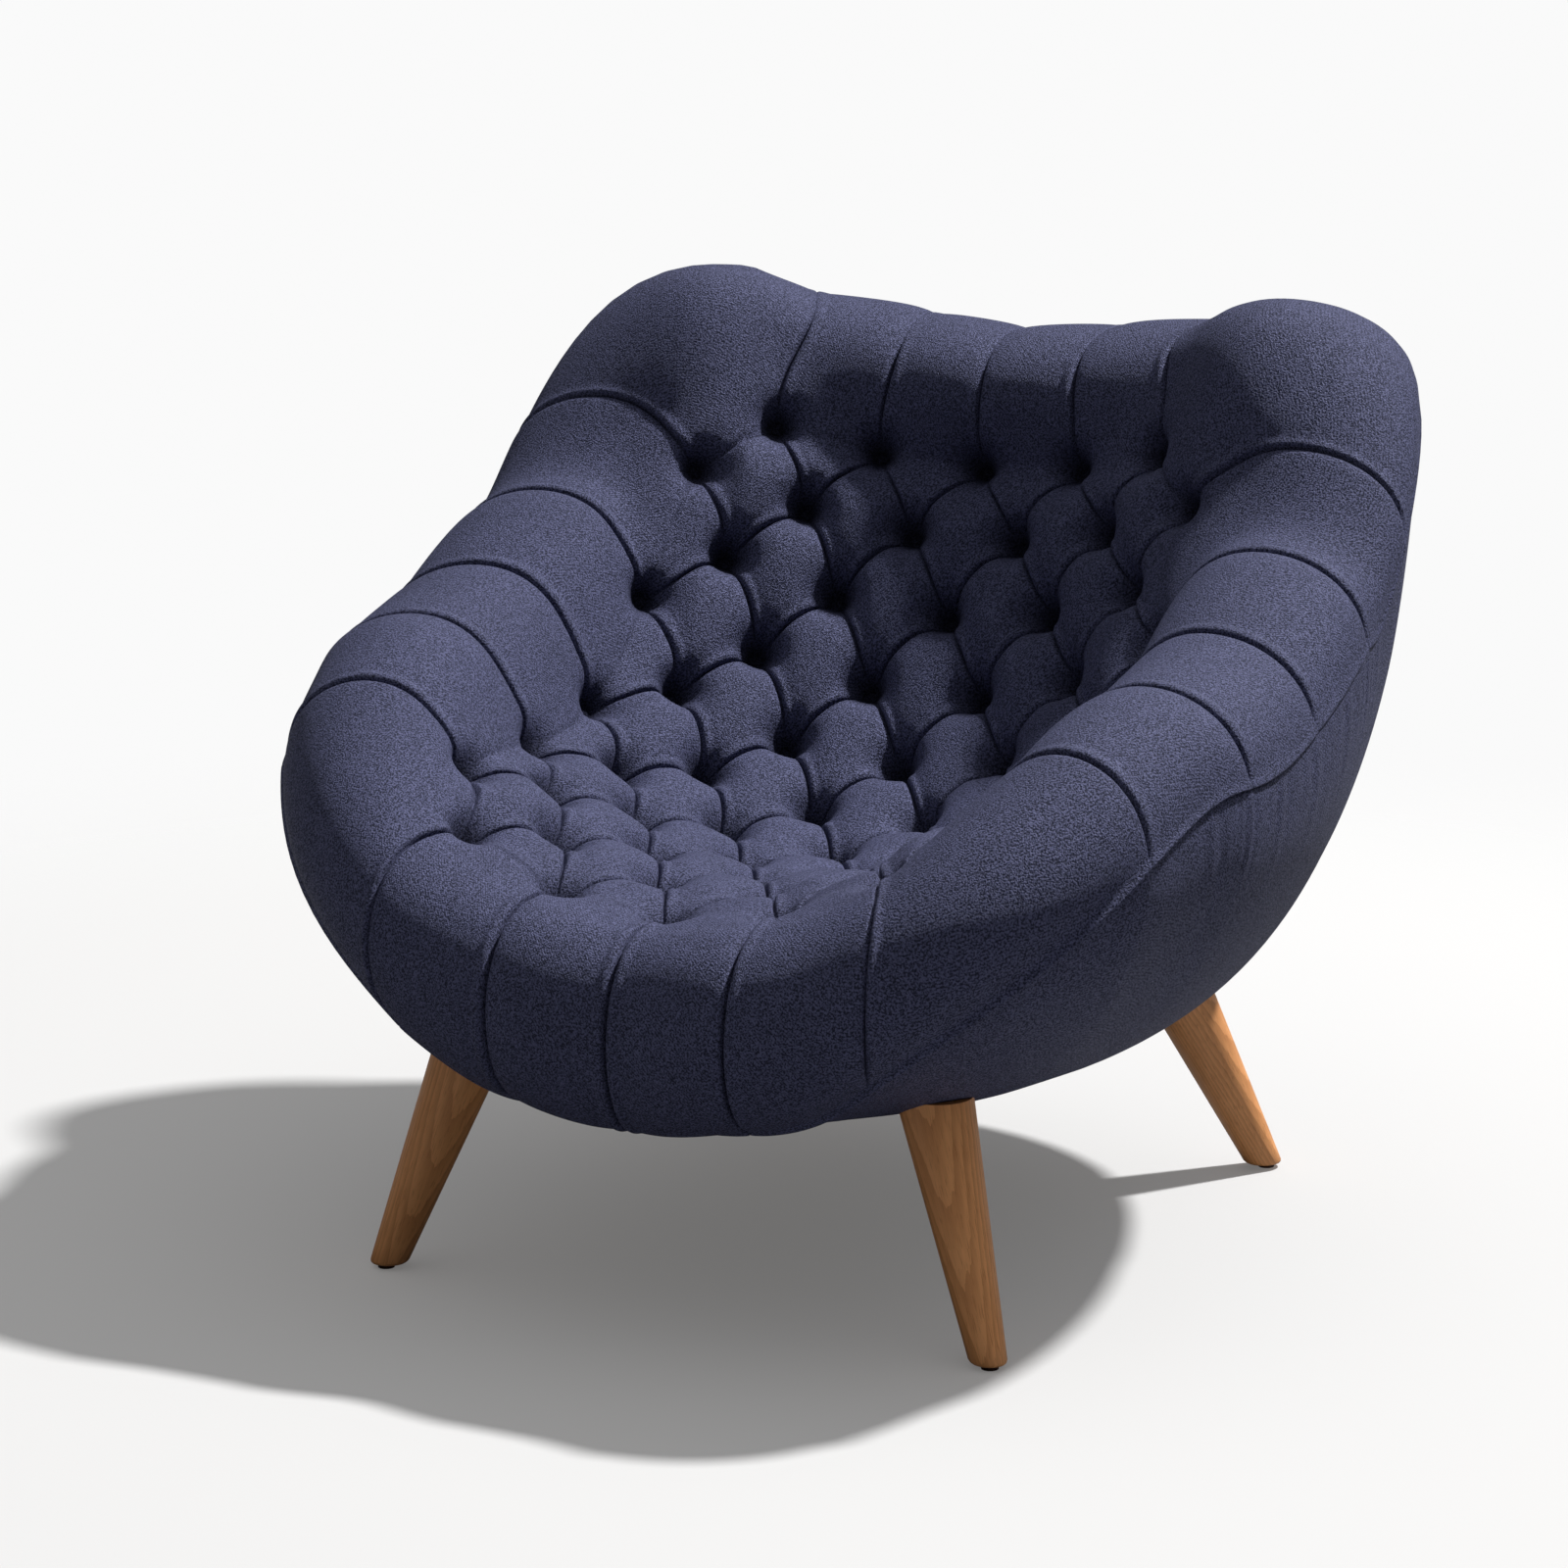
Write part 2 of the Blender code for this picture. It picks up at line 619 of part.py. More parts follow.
def button_line(name, u, look):
    """One line of covered buttons on the tape that holds them behind the pad."""
    buttons = bmesh.new()
    for line, point, normal in BUTTONS:
        if line == u:
            base = point - normal * (TAPE_TOP + TAPE_THICKNESS / 4)
            crown = BUTTON_RADIUS * BUTTON_CROWN_SHARE
            cone_shape(buttons, BUTTON_RADIUS, crown, base, base + normal * BUTTON_HEIGHT, BUTTON_SIDES)
    line = add_object(name, mesh_of(name, buttons), look)
    tape = add_object(name + "_tape", tape_mesh(name, u), None, CUTTERS)
    cut(line, tape, "UNION")
    return line


def well_cutter():
    shape = bmesh.new()
    for _, point, normal in BUTTONS:
        reach = normal * 2 * PAD_THICKNESS
        cone_shape(shape, WELL_RADIUS, WELL_RADIUS, point - reach, point + reach, WELL_SIDES)
    return add_object("well_cutter", mesh_of("well_cutter", shape), None, CUTTERS)


def cut_wells(pad, wells):
    """Cut the button wells, and draw the points along each well's mouth to its corners."""
    cut(pad, wells)
    shape = bmesh.new()
    shape.from_mesh(pad.data)
    shape.verts.ensure_lookup_table()
    places = np.array([corner.co for corner in shape.verts])
    flat = WELL_RADIUS * math.cos(math.pi / WELL_SIDES)
    drawn = {}
    for _, point, normal in BUTTONS:
        offset = places - np.array(point)
        height = offset @ np.array(normal)
        far = np.linalg.norm(offset - height[:, None] * np.array(normal), axis=1)
        wall = np.flatnonzero((far > flat - GAP) & (far < WELL_RADIUS + GAP)
                              & (abs(height) < 2 * PAD_THICKNESS))
        ends = [i for i in wall if far[i] > WELL_RADIUS - GAP / 10]
        for i in wall:
            reach = np.linalg.norm(places[ends] - places[i], axis=1)
            if i not in ends and reach.min() < WELL_RADIUS * DRAW_SHARE:
                drawn[shape.verts[i]] = shape.verts[ends[reach.argmin()]]
    bmesh.ops.weld_verts(shape, targetmap=drawn)
    shape.to_mesh(pad.data)
    shape.free()


# Frame

def core_mesh():
    """The space between the seat shell and the outer cover, which ribs and boards fill."""
    steps = PAD_STEPS // 2
    sheet = lattice_sheet(0, ROWS, steps)
    keys = sorted({key for face in sheet for key in face})
    u, r = lattice_place(keys, steps, 0, ROWS)
    points = list(dish(u, r) - dish_normal(u, r) * CORE_TOP)
    index = {key: i for i, key in enumerate(keys)}
    faces = [[index[key] for key in face] for face in sheet]
    columns = 2 * CENTRE_K * steps
    k = np.arange(columns) / steps
    half_k, side = right_half(k)
    place_u, place_r = rim_place(half_k)
    rims = dish(place_u, place_r) - dish_normal(place_u, place_r) * CORE_TOP
    rims[:, 0] *= side
    middle_angle = (rail_side(k, 0) + rail_side(k, 1)) / 2 - math.pi
    below = rail_point(k, RAIL_RADIUS * TUBE_ROOM_SHARE + GAP, middle_angle)
    depth = COVER_THICKNESS + 2 * GAP
    bowl = [bowl_point(k, step / BOWL_STEPS + 0 * k, depth + 0 * k)
            for step in range(BOWL_STEPS + 1)]
    upper, lower = (bowl_point(k, step / BOWL_STEPS + 0 * k, depth + CORE_SHOULDER + 0 * k)
                    for step in (0, 1))
    rows = [rims, below, upper + (lower - upper) * CORE_START_SHARE] + bowl[1:]
    first = len(points)
    for row in rows:
        points += list(row)
    for y in range(len(rows) - 1):
        for x in range(columns):
            near = first + y * columns + x
            beside = first + y * columns + (x + 1) % columns
            faces += [[near, beside, beside + columns], [near, beside + columns, near + columns]]
    middle = len(points)
    points.append(np.array([0, BASE_CENTRE_Y, rows[-1][:, 2].mean()]))
    last = first + (len(rows) - 1) * columns
    faces += [[last + x, last + (x + 1) % columns, middle] for x in range(columns)]
    return mesh_from("core", points, faces)


def core_piece(name, lows, highs, core, look):
    """What a box leaves of the core."""
    sizes = [high - low for low, high in zip(lows, highs)]
    middle = [(high + low) / 2 for low, high in zip(lows, highs)]
    shape = bmesh.new()
    bmesh.ops.create_cube(shape, size=1, matrix=Matrix.Translation(middle) @ Matrix.Diagonal((*sizes, 1)))
    piece = add_object(name, mesh_of(name, shape), look)
    cut(piece, core, "INTERSECT")
    return piece


LEG_TOP = BOARD_HEIGHT - GAP


def leg_axis(side, front):
    """Foot point and upward direction, a unit in z, of one leg, whose top is at its place on the base."""
    top_y = BASE_CENTRE_Y + BASE_HALF_DEPTH * (FRONT_TOP_Y_SHARE if front else BACK_TOP_Y_SHARE)
    splay_y = FRONT_SPLAY_Y if front else -BACK_SPLAY_Y
    rise = Vector((-side * LEG_SPLAY_X, splay_y, 1))
    return Vector((side * BASE_HALF_WIDTH * LEG_TOP_X_SHARE, top_y, LEG_TOP)) - rise * LEG_TOP, rise


def leg_shape(side, front, grow, low, high):
    """A tapered leg cut level at two heights."""
    foot, rise = leg_axis(side, front)
    slope = (LEG_TOP_RADIUS - LEG_FOOT_RADIUS) / LEG_TOP
    under = -LEG_TOP / 2
    over = LEG_TOP * 3 / 2
    shape = bmesh.new()
    cone_shape(shape, LEG_FOOT_RADIUS + slope * under + grow, LEG_FOOT_RADIUS + slope * over + grow,
               foot + rise * under, foot + rise * over, LEG_SIDES)
    for height, way in ((low, -1), (high, 1)):
        everything = shape.verts[:] + shape.edges[:] + shape.faces[:]
        bmesh.ops.bisect_plane(shape, geom=everything, plane_co=(0, 0, height), plane_no=(0, 0, way),
                               clear_outer=True)
        bmesh.ops.holes_fill(shape, edges=[edge for edge in shape.edges if edge.is_boundary], sides=0)
    return shape


def round_foot(leg):
    """Round the lower edge of a leg."""
    shape = bmesh.new()
    shape.from_mesh(leg.data)
    lowest = min(corner.co.z for corner in shape.verts)
    edges = [edge for edge in shape.edges
             if all(abs(corner.co.z - lowest) < GAP for corner in edge.verts)]
    bmesh.ops.bevel(shape, geom=edges, offset=LEG_EDGE_ROUND, segments=2, affect="EDGES", profile=0.5)
    shape.to_mesh(leg.data)
    shape.free()


LEGS = [(side, front) for front in (True, False) for side in (-1, 1)]


def leg_name(side, front):
    return ("front" if front else "back") + ("_left" if side < 0 else "_right")


def upright(name, side, front, at_height, low, high, radius, sides, look, collection=CHAIR):
    """An upright cylinder through the point of a leg's axis at a height."""
    foot, rise = leg_axis(side, front)
    middle = foot + rise * at_height
    shape = bmesh.new()
    cone_shape(shape, radius, radius, (middle.x, middle.y, low), (middle.x, middle.y, high), sides)
    return add_object(name, mesh_of(name, shape), look, collection)


def upright_rooms(name, at_height, low, high, radius, sides):
    """A cutter with one upright cylinder for each leg."""
    shape = bmesh.new()
    for side, front in LEGS:
        foot, rise = leg_axis(side, front)
        middle = foot + rise * at_height
        cone_shape(shape, radius, radius, (middle.x, middle.y, low), (middle.x, middle.y, high), sides)
    return add_object(name, mesh_of(name, shape), None, CUTTERS)


def base_loop(inset, count):
    """Points of the base loop, moved inwards."""
    turns = np.arange(count) * (2 * math.pi / count)
    return [(math.cos(turn) * (BASE_HALF_WIDTH - inset),
             BASE_CENTRE_Y + math.sin(turn) * (BASE_HALF_DEPTH - inset), turn) for turn in turns]


def plate(name, outline, low, high, look):
    """An extruded flat outline."""
    shape = bmesh.new()
    corners = [shape.verts.new((x, y, low)) for x, y, _ in outline]
    face = shape.faces.new(corners)
    moved = bmesh.ops.extrude_face_region(shape, geom=[face])
    raised = [item for item in moved["geom"] if isinstance(item, bmesh.types.BMVert)]
    bmesh.ops.translate(shape, verts=raised, vec=(0, 0, high - low))
    return add_object(name, mesh_of(name, shape), look)


def rim_rail(name, look):
    """The bent steel tube in the middle of the roll, in sections on the planes of the roll."""
    columns = CENTRE_K * PAD_STEPS
    k = np.arange(columns) * (2 * CENTRE_K / columns)
    turns = np.arange(RAIL_SIDES) * (2 * math.pi / RAIL_SIDES)
    grid_k, grid_turn = np.meshgrid(k, turns, indexing="ij")
    points = rail_point(grid_k, RAIL_RADIUS, grid_turn).reshape(-1, 3)
    faces = []
    for x in range(columns):
        for y in range(RAIL_SIDES):
            beside = (x + 1) % columns * RAIL_SIDES
            after = (y + 1) % RAIL_SIDES
            faces.append([x * RAIL_SIDES + y, beside + y, beside + after, x * RAIL_SIDES + after])
    return add_object(name, mesh_from(name, points, faces), look)


def build():
    wool = material("navy_wool", (0.035, 0.045, 0.085), 0.95)
    wadding = material("grey_foam", (0.45, 0.44, 0.40), 0.9)
    shell_look = material("glass_fibre", (0.50, 0.47, 0.36), 0.55)
    ply = material("birch_ply", (0.62, 0.46, 0.29), 0.6)
    oak = material("oak", (0.42, 0.24, 0.11), 0.45)
    steel = material("zinc_steel", (0.60, 0.61, 0.63), 0.35, 1.0)
    black = material("black_cloth", (0.02, 0.02, 0.022), 0.9)
    nylon = material("brown_nylon", (0.03, 0.018, 0.014), 0.5)

    wells = well_cutter()
    middle_row = ROWS // 2
    pads = [tufted_pad("tufted_back_pad", 0, middle_row, wool),
            tufted_pad("tufted_seat_pad", middle_row, ROWS, wool),
            rim_pad("rim_pad_back", -3, 3, wool), rim_pad("rim_pad_right", 3, 8, wool),
            rim_pad("rim_pad_front", 8, 12, wool), rim_pad("rim_pad_left", 12, 17, wool)]
    for pad in pads:
        cut_wells(pad, wells)
    dish_layer("back_foam", 0, middle_row, FOAM_TOP, FOAM_BOTTOM, wadding)
    dish_layer("seat_foam", middle_row, ROWS, FOAM_TOP, FOAM_BOTTOM, wadding)
    dish_layer("bucket_shell", 0, ROWS, SHELL_TOP, SHELL_BOTTOM, shell_look)
    rim_foam = ring_solid("rim_foam", CENTRE_K * PAD_STEPS, ROLL_STEPS // 2,
                          lambda k, s: roll_point(k, s, PAD_THICKNESS + 2 * GAP + 0 * s),
                          lambda k, s: rail_point(k, RAIL_RADIUS * TUBE_ROOM_SHARE + GAP, rail_side(k, s)),
                          wadding)
    cut_wells(rim_foam, wells)
    rim_rail("rim_rail", steel)
    lines = np.arange(-HALF_COLUMNS, HALF_COLUMNS + 0.5, 0.5)
    for number, u in enumerate(lines, 1):
        button_line(f"button_line_{number}", u, wool)

    core = add_object("core", core_mesh(), None, CUTTERS)
    floor = BOARD_HEIGHT + BOARD_THICKNESS + GAP
    half = RIB_THICKNESS / 2
    for side, hand in ((-1, "left"), (1, "right")):
        for number, share in enumerate(LONG_RIB_X_SHARES, 1):
            x = side * share * BUTTON_PITCH
            core_piece(f"long_rib_{hand}_{number}", (x - half, -OVERRUN, floor),
                       (x + half, 2 * OVERRUN, 2 * OVERRUN), core, ply)
        for number, share in enumerate(SIDE_RIB_Y_SHARES, 1):
            ends = sorted((side * SIDE_RIB_START, side * 2 * OVERRUN))
            y = share * PAD_REACH
            core_piece(f"side_rib_{hand}_{number}", (ends[0], y - half, floor),
                       (ends[1], y + half, 2 * OVERRUN), core, ply)
    board = core_piece("base_board", (-OVERRUN, -OVERRUN, BOARD_HEIGHT),
                       (OVERRUN, 2 * OVERRUN, BOARD_HEIGHT + BOARD_THICKNESS), core, ply)
    dust_high = BASE_HEIGHT - GAP
    dust_low = dust_high - DUST_COVER_THICKNESS
    cover = ring_solid("outer_cover", CENTRE_K * PAD_STEPS, BOWL_STEPS,
                       lambda k, s: bowl_point(k, s, 0 * s),
                       lambda k, s: bowl_point(k, s, COVER_THICKNESS + 0 * s), wool)
    plate("dust_cover", base_loop(-DUST_COVER_OVERLAP, CENTRE_K * PAD_STEPS), dust_low, dust_high, black)

    board_top = BOARD_HEIGHT + BOARD_THICKNESS
    bolt_low = LEG_TOP - BOLT_IN_LEG
    bolt_high = board_top + BOLT_ABOVE_BOARD
    washer_low = board_top + GAP
    nut_low = washer_low + WASHER_THICKNESS + GAP
    bolt_room = upright_rooms("bolt_cutter", LEG_TOP, bolt_low - GAP, bolt_high + GAP, BOLT_RADIUS + GAP,
                              BOLT_SIDES)
    nail_room = upright_rooms("nail_cutter", 0, -GAP, NAIL_LENGTH + GAP, NAIL_RADIUS + GAP, NAIL_SIDES)
    cut(board, bolt_room)
    for side, front in LEGS:
        name = leg_name(side, front)
        upright("bolt_" + name, side, front, LEG_TOP, bolt_low, bolt_high, BOLT_RADIUS, BOLT_SIDES, steel)
        washer = upright("washer_" + name, side, front, LEG_TOP, washer_low, washer_low + WASHER_THICKNESS,
                         WASHER_RADIUS, BOLT_SIDES, steel)
        nut = upright("nut_" + name, side, front, LEG_TOP, nut_low, nut_low + NUT_HEIGHT, NUT_RADIUS,
                      NUT_SIDES, steel)
        cut(washer, bolt_room)
        cut(nut, bolt_room)
        leg = add_object("leg_" + name, mesh_of("leg", leg_shape(side, front, 0, GLIDE_HEIGHT, LEG_TOP)), oak)
        round_foot(leg)
        cut(leg, bolt_room)
        cut(leg, nail_room)
        room = add_object("leg_cutter_" + name, mesh_of("leg_cutter", leg_shape(
            side, front, LEG_CLEARANCE, GLIDE_HEIGHT, LEG_TOP + GAP / 2)), None, CUTTERS)
        cut(cover, room)
        glide = upright("glide_" + name, side, front, 0, 0, GLIDE_HEIGHT - GAP, GLIDE_RADIUS, GLIDE_SIDES, nylon)
        nail = upright("nail_" + name, side, front, 0, GLIDE_HEIGHT / 2, NAIL_LENGTH, NAIL_RADIUS, NAIL_SIDES,
                       None, CUTTERS)
        cut(glide, nail, "UNION")


def centre_on_floor():
    """Shade the pieces, and move the chair so that the middle of its box's underside is the origin."""
    graph = bpy.context.evaluated_depsgraph_get()
    lows = np.full(3, np.inf)
    highs = -lows
    for item in CHAIR.objects:
        if item.type == "EMPTY":
            continue
        item.data.shade_smooth()
        item.data.set_sharp_from_angle(angle=math.radians(SHARP_DEGREES))
        whole = item.evaluated_get(graph)
        corners = np.array([list(item.matrix_world @ Vector(corner)) for corner in whole.bound_box])
        lows = np.minimum(lows, corners.min(0))
        highs = np.maximum(highs, corners.max(0))
    middle = (lows + highs) / 2
    SEAT_MIDDLE.location = (-middle[0], -middle[1], -lows[2])


build()
centre_on_floor()
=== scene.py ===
import json
import math

import bmesh
import bpy
import numpy as np
from mathutils import Matrix, Vector


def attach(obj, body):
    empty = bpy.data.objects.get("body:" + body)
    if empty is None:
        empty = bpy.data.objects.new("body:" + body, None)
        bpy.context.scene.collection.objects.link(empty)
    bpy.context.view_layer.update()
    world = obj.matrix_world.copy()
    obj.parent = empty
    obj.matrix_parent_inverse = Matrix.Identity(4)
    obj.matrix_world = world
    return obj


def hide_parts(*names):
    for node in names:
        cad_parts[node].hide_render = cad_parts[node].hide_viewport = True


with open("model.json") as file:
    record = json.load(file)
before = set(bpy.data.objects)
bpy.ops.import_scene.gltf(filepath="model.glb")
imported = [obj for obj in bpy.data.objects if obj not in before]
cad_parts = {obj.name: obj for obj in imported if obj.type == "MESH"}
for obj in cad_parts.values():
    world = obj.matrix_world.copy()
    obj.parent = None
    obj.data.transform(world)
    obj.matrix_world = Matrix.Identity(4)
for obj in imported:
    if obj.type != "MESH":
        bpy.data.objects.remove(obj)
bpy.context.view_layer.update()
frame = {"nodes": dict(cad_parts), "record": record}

# The shape is the CAD's, in metres. A place on the lattice of buttons is (u, r): u counts pitches to the
# right of the middle, and r counts rows from the top of the back. The rim is walked by k: 0 at the middle
# of the back, 10 at the middle of the front, 20 back at the start. On the roll s goes from a rim button
# to the seam, and on the bowl from the seam to the base.
chair = {
    "pitch": 0.125, "rows": 10, "halfColumns": 2.5, "rimHalf": 10, "rimLength": 20,
    "backCorner": (2, 3), "frontCorner": (7, 8),      # where the rim turns, in k
    "rimU": (0, 2, 2.5, 2.5, 2, 0), "rimR": (0, 0, 1, 9, 10, 10),
    "frontEdge": -0.023, "reach": 0.709, "backRise": 0.358, "seatHeight": 0.370,
    "wrap": 0.070, "dish": 0.120, "pitchEase": 0.005,
    "spineRows": (0, 2, 4, 6, 8, 10), "edgeRows": (0, 2.5, 5, 7.5, 10),
    "spineReach": (1.0, 0.878, 0.720, 0.500, 0.256, 0.0),
    "spineRise": (1.0, 0.585, 0.193, 0.0, 0.034, 0.075),
    "pitchShares": (0.95, 1.025, 1.015, 1.0, 0.975),
    "wrapShares": (-0.97, -1.04, -0.89, -0.27, 0.37),
    "dishShares": (0.475, 0.75, 0.98, 0.97, 0.80),
    "middleY": 0.37247,      # how far the CAD moved the chair to centre it
}
roll = {
    "radius": 0.100,
    "stations": (0, 1, 2, 2.5, 3, 4, 5, 6, 7, 7.5, 8, 9, 10),
    "out": (0.87, 1.09, 1.29, 1.27, 1.22, 1.17, 1.22, 1.20, 0.99, 0.77, 0.55, 0.61, 0.62),
    "up": (0.68, 0.67, 0.72, 0.75, -0.20, 0.14, 0.43, 0.35, -0.08, -0.50, -0.90, -0.91, -0.92),
    "width": (1.08, 1.22, 1.31, 1.24, 1.16, 1.14, 1.18, 1.12, 0.95, 0.87, 0.80, 0.72, 0.61),
    "height": (0.70, 0.73, 0.79, 0.83, 0.85, 0.93, 0.98, 0.98, 0.96, 0.96, 0.96, 0.95, 0.94),
    "turn": (90, 80, 50, 23, 0, -3, -7, -8, -10, -41, -73, -86, -90),
    "seam": (-16, -11, -6, -4, -2, 3, 8, 8, 0, -32, -62, -85, -106),
    "slope": (0.35, 0.50, 0.95, 1.0, 0.95, 0.75, 0.65, 0.60, 0.45, 0.25, 0.05, 0.0, 0.0),
    "slopeLift": 0.40,
    "leadShare": 0.2,        # the straight part between button and curve
    "leastCrest": 0.05,      # share of s before the crest, at least
    "probe": 0.01,
}
bowl = {"halfWidth": 0.240, "halfDepth": 0.355, "centreY": 0.350, "baseHeight": 0.210,
        "fullness": 0.80, "tuck": 1.17}
up = np.array([0.0, 0.0, 1.0])
tiny = 1e-9


def spline(stations, values, at, level):
    stations = np.asarray(stations, float)
    values = np.asarray(values, float)
    steps = np.diff(stations)
    slopes = np.diff(values) / steps
    count = len(stations)
    system = np.zeros((count, count))
    right = np.zeros(count)
    for i in range(1, count - 1):
        system[i, i - 1:i + 2] = steps[i - 1], 2 * (steps[i - 1] + steps[i]), steps[i]
        right[i] = 6 * (slopes[i] - slopes[i - 1])
    system[0, 0] = system[-1, -1] = 1
    if level:                # level ends
        system[0, :2] = 2 * steps[0], steps[0]
        system[-1, -2:] = steps[-1], 2 * steps[-1]
        right[0] = 6 * slopes[0]
        right[-1] = -6 * slopes[-1]
    bend = np.linalg.solve(system, right)
    at = np.asarray(at, float)
    i = np.clip(np.searchsorted(stations, at) - 1, 0, count - 2)
    after = at - stations[i]
    before = stations[i + 1] - at
    step = steps[i]
    cubic = (bend[i] * before ** 3 + bend[i + 1] * after ** 3) / (6 * step)
    return (cubic + (values[i] / step - bend[i] * step / 6) * before
            + (values[i + 1] / step - bend[i + 1] * step / 6) * after)


def hermite(t, first, leave, last, arrive):
    return ((2 * t ** 3 - 3 * t ** 2 + 1) * first + (t ** 3 - 2 * t ** 2 + t) * leave
            + (3 * t ** 2 - 2 * t ** 3) * last + (t ** 3 - t ** 2) * arrive)


def unit(vectors):
    return vectors / np.maximum(np.linalg.norm(vectors, axis=-1, keepdims=True), tiny)


def smooth(x):
    x = np.clip(x, 0, 1)
    return x * x * (3 - 2 * x)


def ramp(x, start, end):
    # 0 at start, 1 at end
    return smooth((x - start) / (end - start))


def band(x, marks):
    # 1 between the two middle marks, 0 beyond the outer ones
    return ramp(x, marks[0], marks[1]) * ramp(x, marks[3], marks[2])


def dish(u, r):
    u = np.asarray(u, float)
    r = np.asarray(r, float)
    wide = (u / chair["halfColumns"]) ** 2
    pitch = chair["pitch"] * spline(chair["edgeRows"], chair["pitchShares"], r, False)
    pitch = pitch - chair["pitchEase"] * np.abs(u)
    reach = chair["reach"] * spline(chair["spineRows"], chair["spineReach"], r, False)
    rise = chair["backRise"] * spline(chair["spineRows"], chair["spineRise"], r, False)
    wrap = chair["wrap"] * spline(chair["edgeRows"], chair["wrapShares"], r, False)
    lift = chair["dish"] * spline(chair["edgeRows"], chair["dishShares"], r, False)
    return np.stack([u * pitch, chair["frontEdge"] + reach + wrap * wide - chair["middleY"],
                     chair["seatHeight"] + rise + lift * wide], -1)


def dishNormal(u, r):
    small = roll["probe"]
    across = dish(u + small, r) - dish(u - small, r)
    along = dish(u, np.asarray(r) + small) - dish(u, np.asarray(r) - small)
    return unit(np.cross(along, across))


def rimPlace(k):
    marks = (0, *chair["backCorner"], *chair["frontCorner"], chair["rimHalf"])
    return np.interp(k, marks, chair["rimU"]), np.interp(k, marks, chair["rimR"])


def rightHalf(k):
    # the same place on the right half, and the side that it is on
    k = np.mod(np.asarray(k, float), chair["rimLength"])
    onLeft = k > chair["rimHalf"]
    return np.where(onLeft, chair["rimLength"] - k, k), np.where(onLeft, -1.0, 1.0)


def rimValues(k):
    u, r = rimPlace(k)
    small = roll["probe"]
    along = dish(*rimPlace(k + small)) - dish(*rimPlace(k - small))
    turn = np.radians(spline(roll["stations"], roll["turn"], k, True))
    sizes = [roll["radius"] * spline(roll["stations"], roll[name], k, True)
             for name in ("out", "up", "width", "height")]
    return {"start": dish(u, r), "normal": dishNormal(u, r), "along": unit(along),
            "slope": np.interp(k, roll["stations"], roll["slope"]),
            "out": np.stack([np.cos(turn), np.sin(turn), 0 * turn], -1), "sizes": sizes,
            "seam": np.radians(spline(roll["stations"], roll["seam"], k, True))}


def bareRoll(k, s, depth):
    # a straight lead, then an ellipse, blended with a slope from the button to the crest
    at = rimValues(k)
    outBy, upBy, wide, high = at["sizes"]
    wide = wide - depth
    high = high - depth
    root = at["start"] - at["normal"] * np.asarray(depth)[..., None]
    centre = at["start"] + outBy[..., None] * at["out"] + upBy[..., None] * up
    across = ((root - centre) * at["out"]).sum(-1) / wide
    upward = (root - centre)[..., 2] / high
    far = np.maximum(np.hypot(across, upward), 1)
    first = np.mod(np.arctan2(upward, across), 2 * math.pi) - np.arccos(1 / far)
    lead = roll["leadShare"]
    angle = first + (at["seam"] - first) * np.clip((s - lead) / (1 - lead), 0, 1)
    point = (centre + (wide * np.cos(angle))[..., None] * at["out"]
             + (high * np.sin(angle))[..., None] * up)
    straight = np.clip(s / lead, 0, 1)[..., None]
    point = root * (1 - straight) + point * straight
    crestShare = lead + (1 - lead) * (first - math.pi / 2) / (first - at["seam"])
    crestShare = np.maximum(crestShare, roll["leastCrest"])
    crest = centre + high[..., None] * up
    chord = crest - root
    reach = np.linalg.norm(chord, axis=-1, keepdims=True)
    leave = unit(chord / reach + roll["slopeLift"] * up) * reach
    arrive = (wide * (first - at["seam"]) / (1 - lead) * crestShare)[..., None] * at["out"]
    t = np.clip(s / crestShare, 0, 1)[..., None]
    blend = np.where(s < crestShare, at["slope"], 0)[..., None]
    return point * (1 - blend) + hermite(t, root, leave, crest, arrive) * blend


def rollPoint(k, s, depth, proud=None):
    k, side = rightHalf(k)
    point = bareRoll(k, s, depth)
    if proud is not None:
        point = point + rollNormal(k, s, depth) * proud[..., None]
    point[..., 0] *= side
    return point


def rollNormal(k, s, depth):
    small = roll["probe"]
    along = (bareRoll(np.minimum(k + small, chair["rimHalf"]), s, depth)
             - bareRoll(np.maximum(k - small, 0), s, depth))
    down = (bareRoll(k, np.minimum(s + small, 1), depth)
            - bareRoll(k, np.maximum(s - small, 0), depth))
    lead = 1 - np.clip(s / roll["leadShare"], 0, 1)[..., None]
    return unit(unit(np.cross(along, down)) * (1 - lead) + rimValues(k)["normal"] * lead)


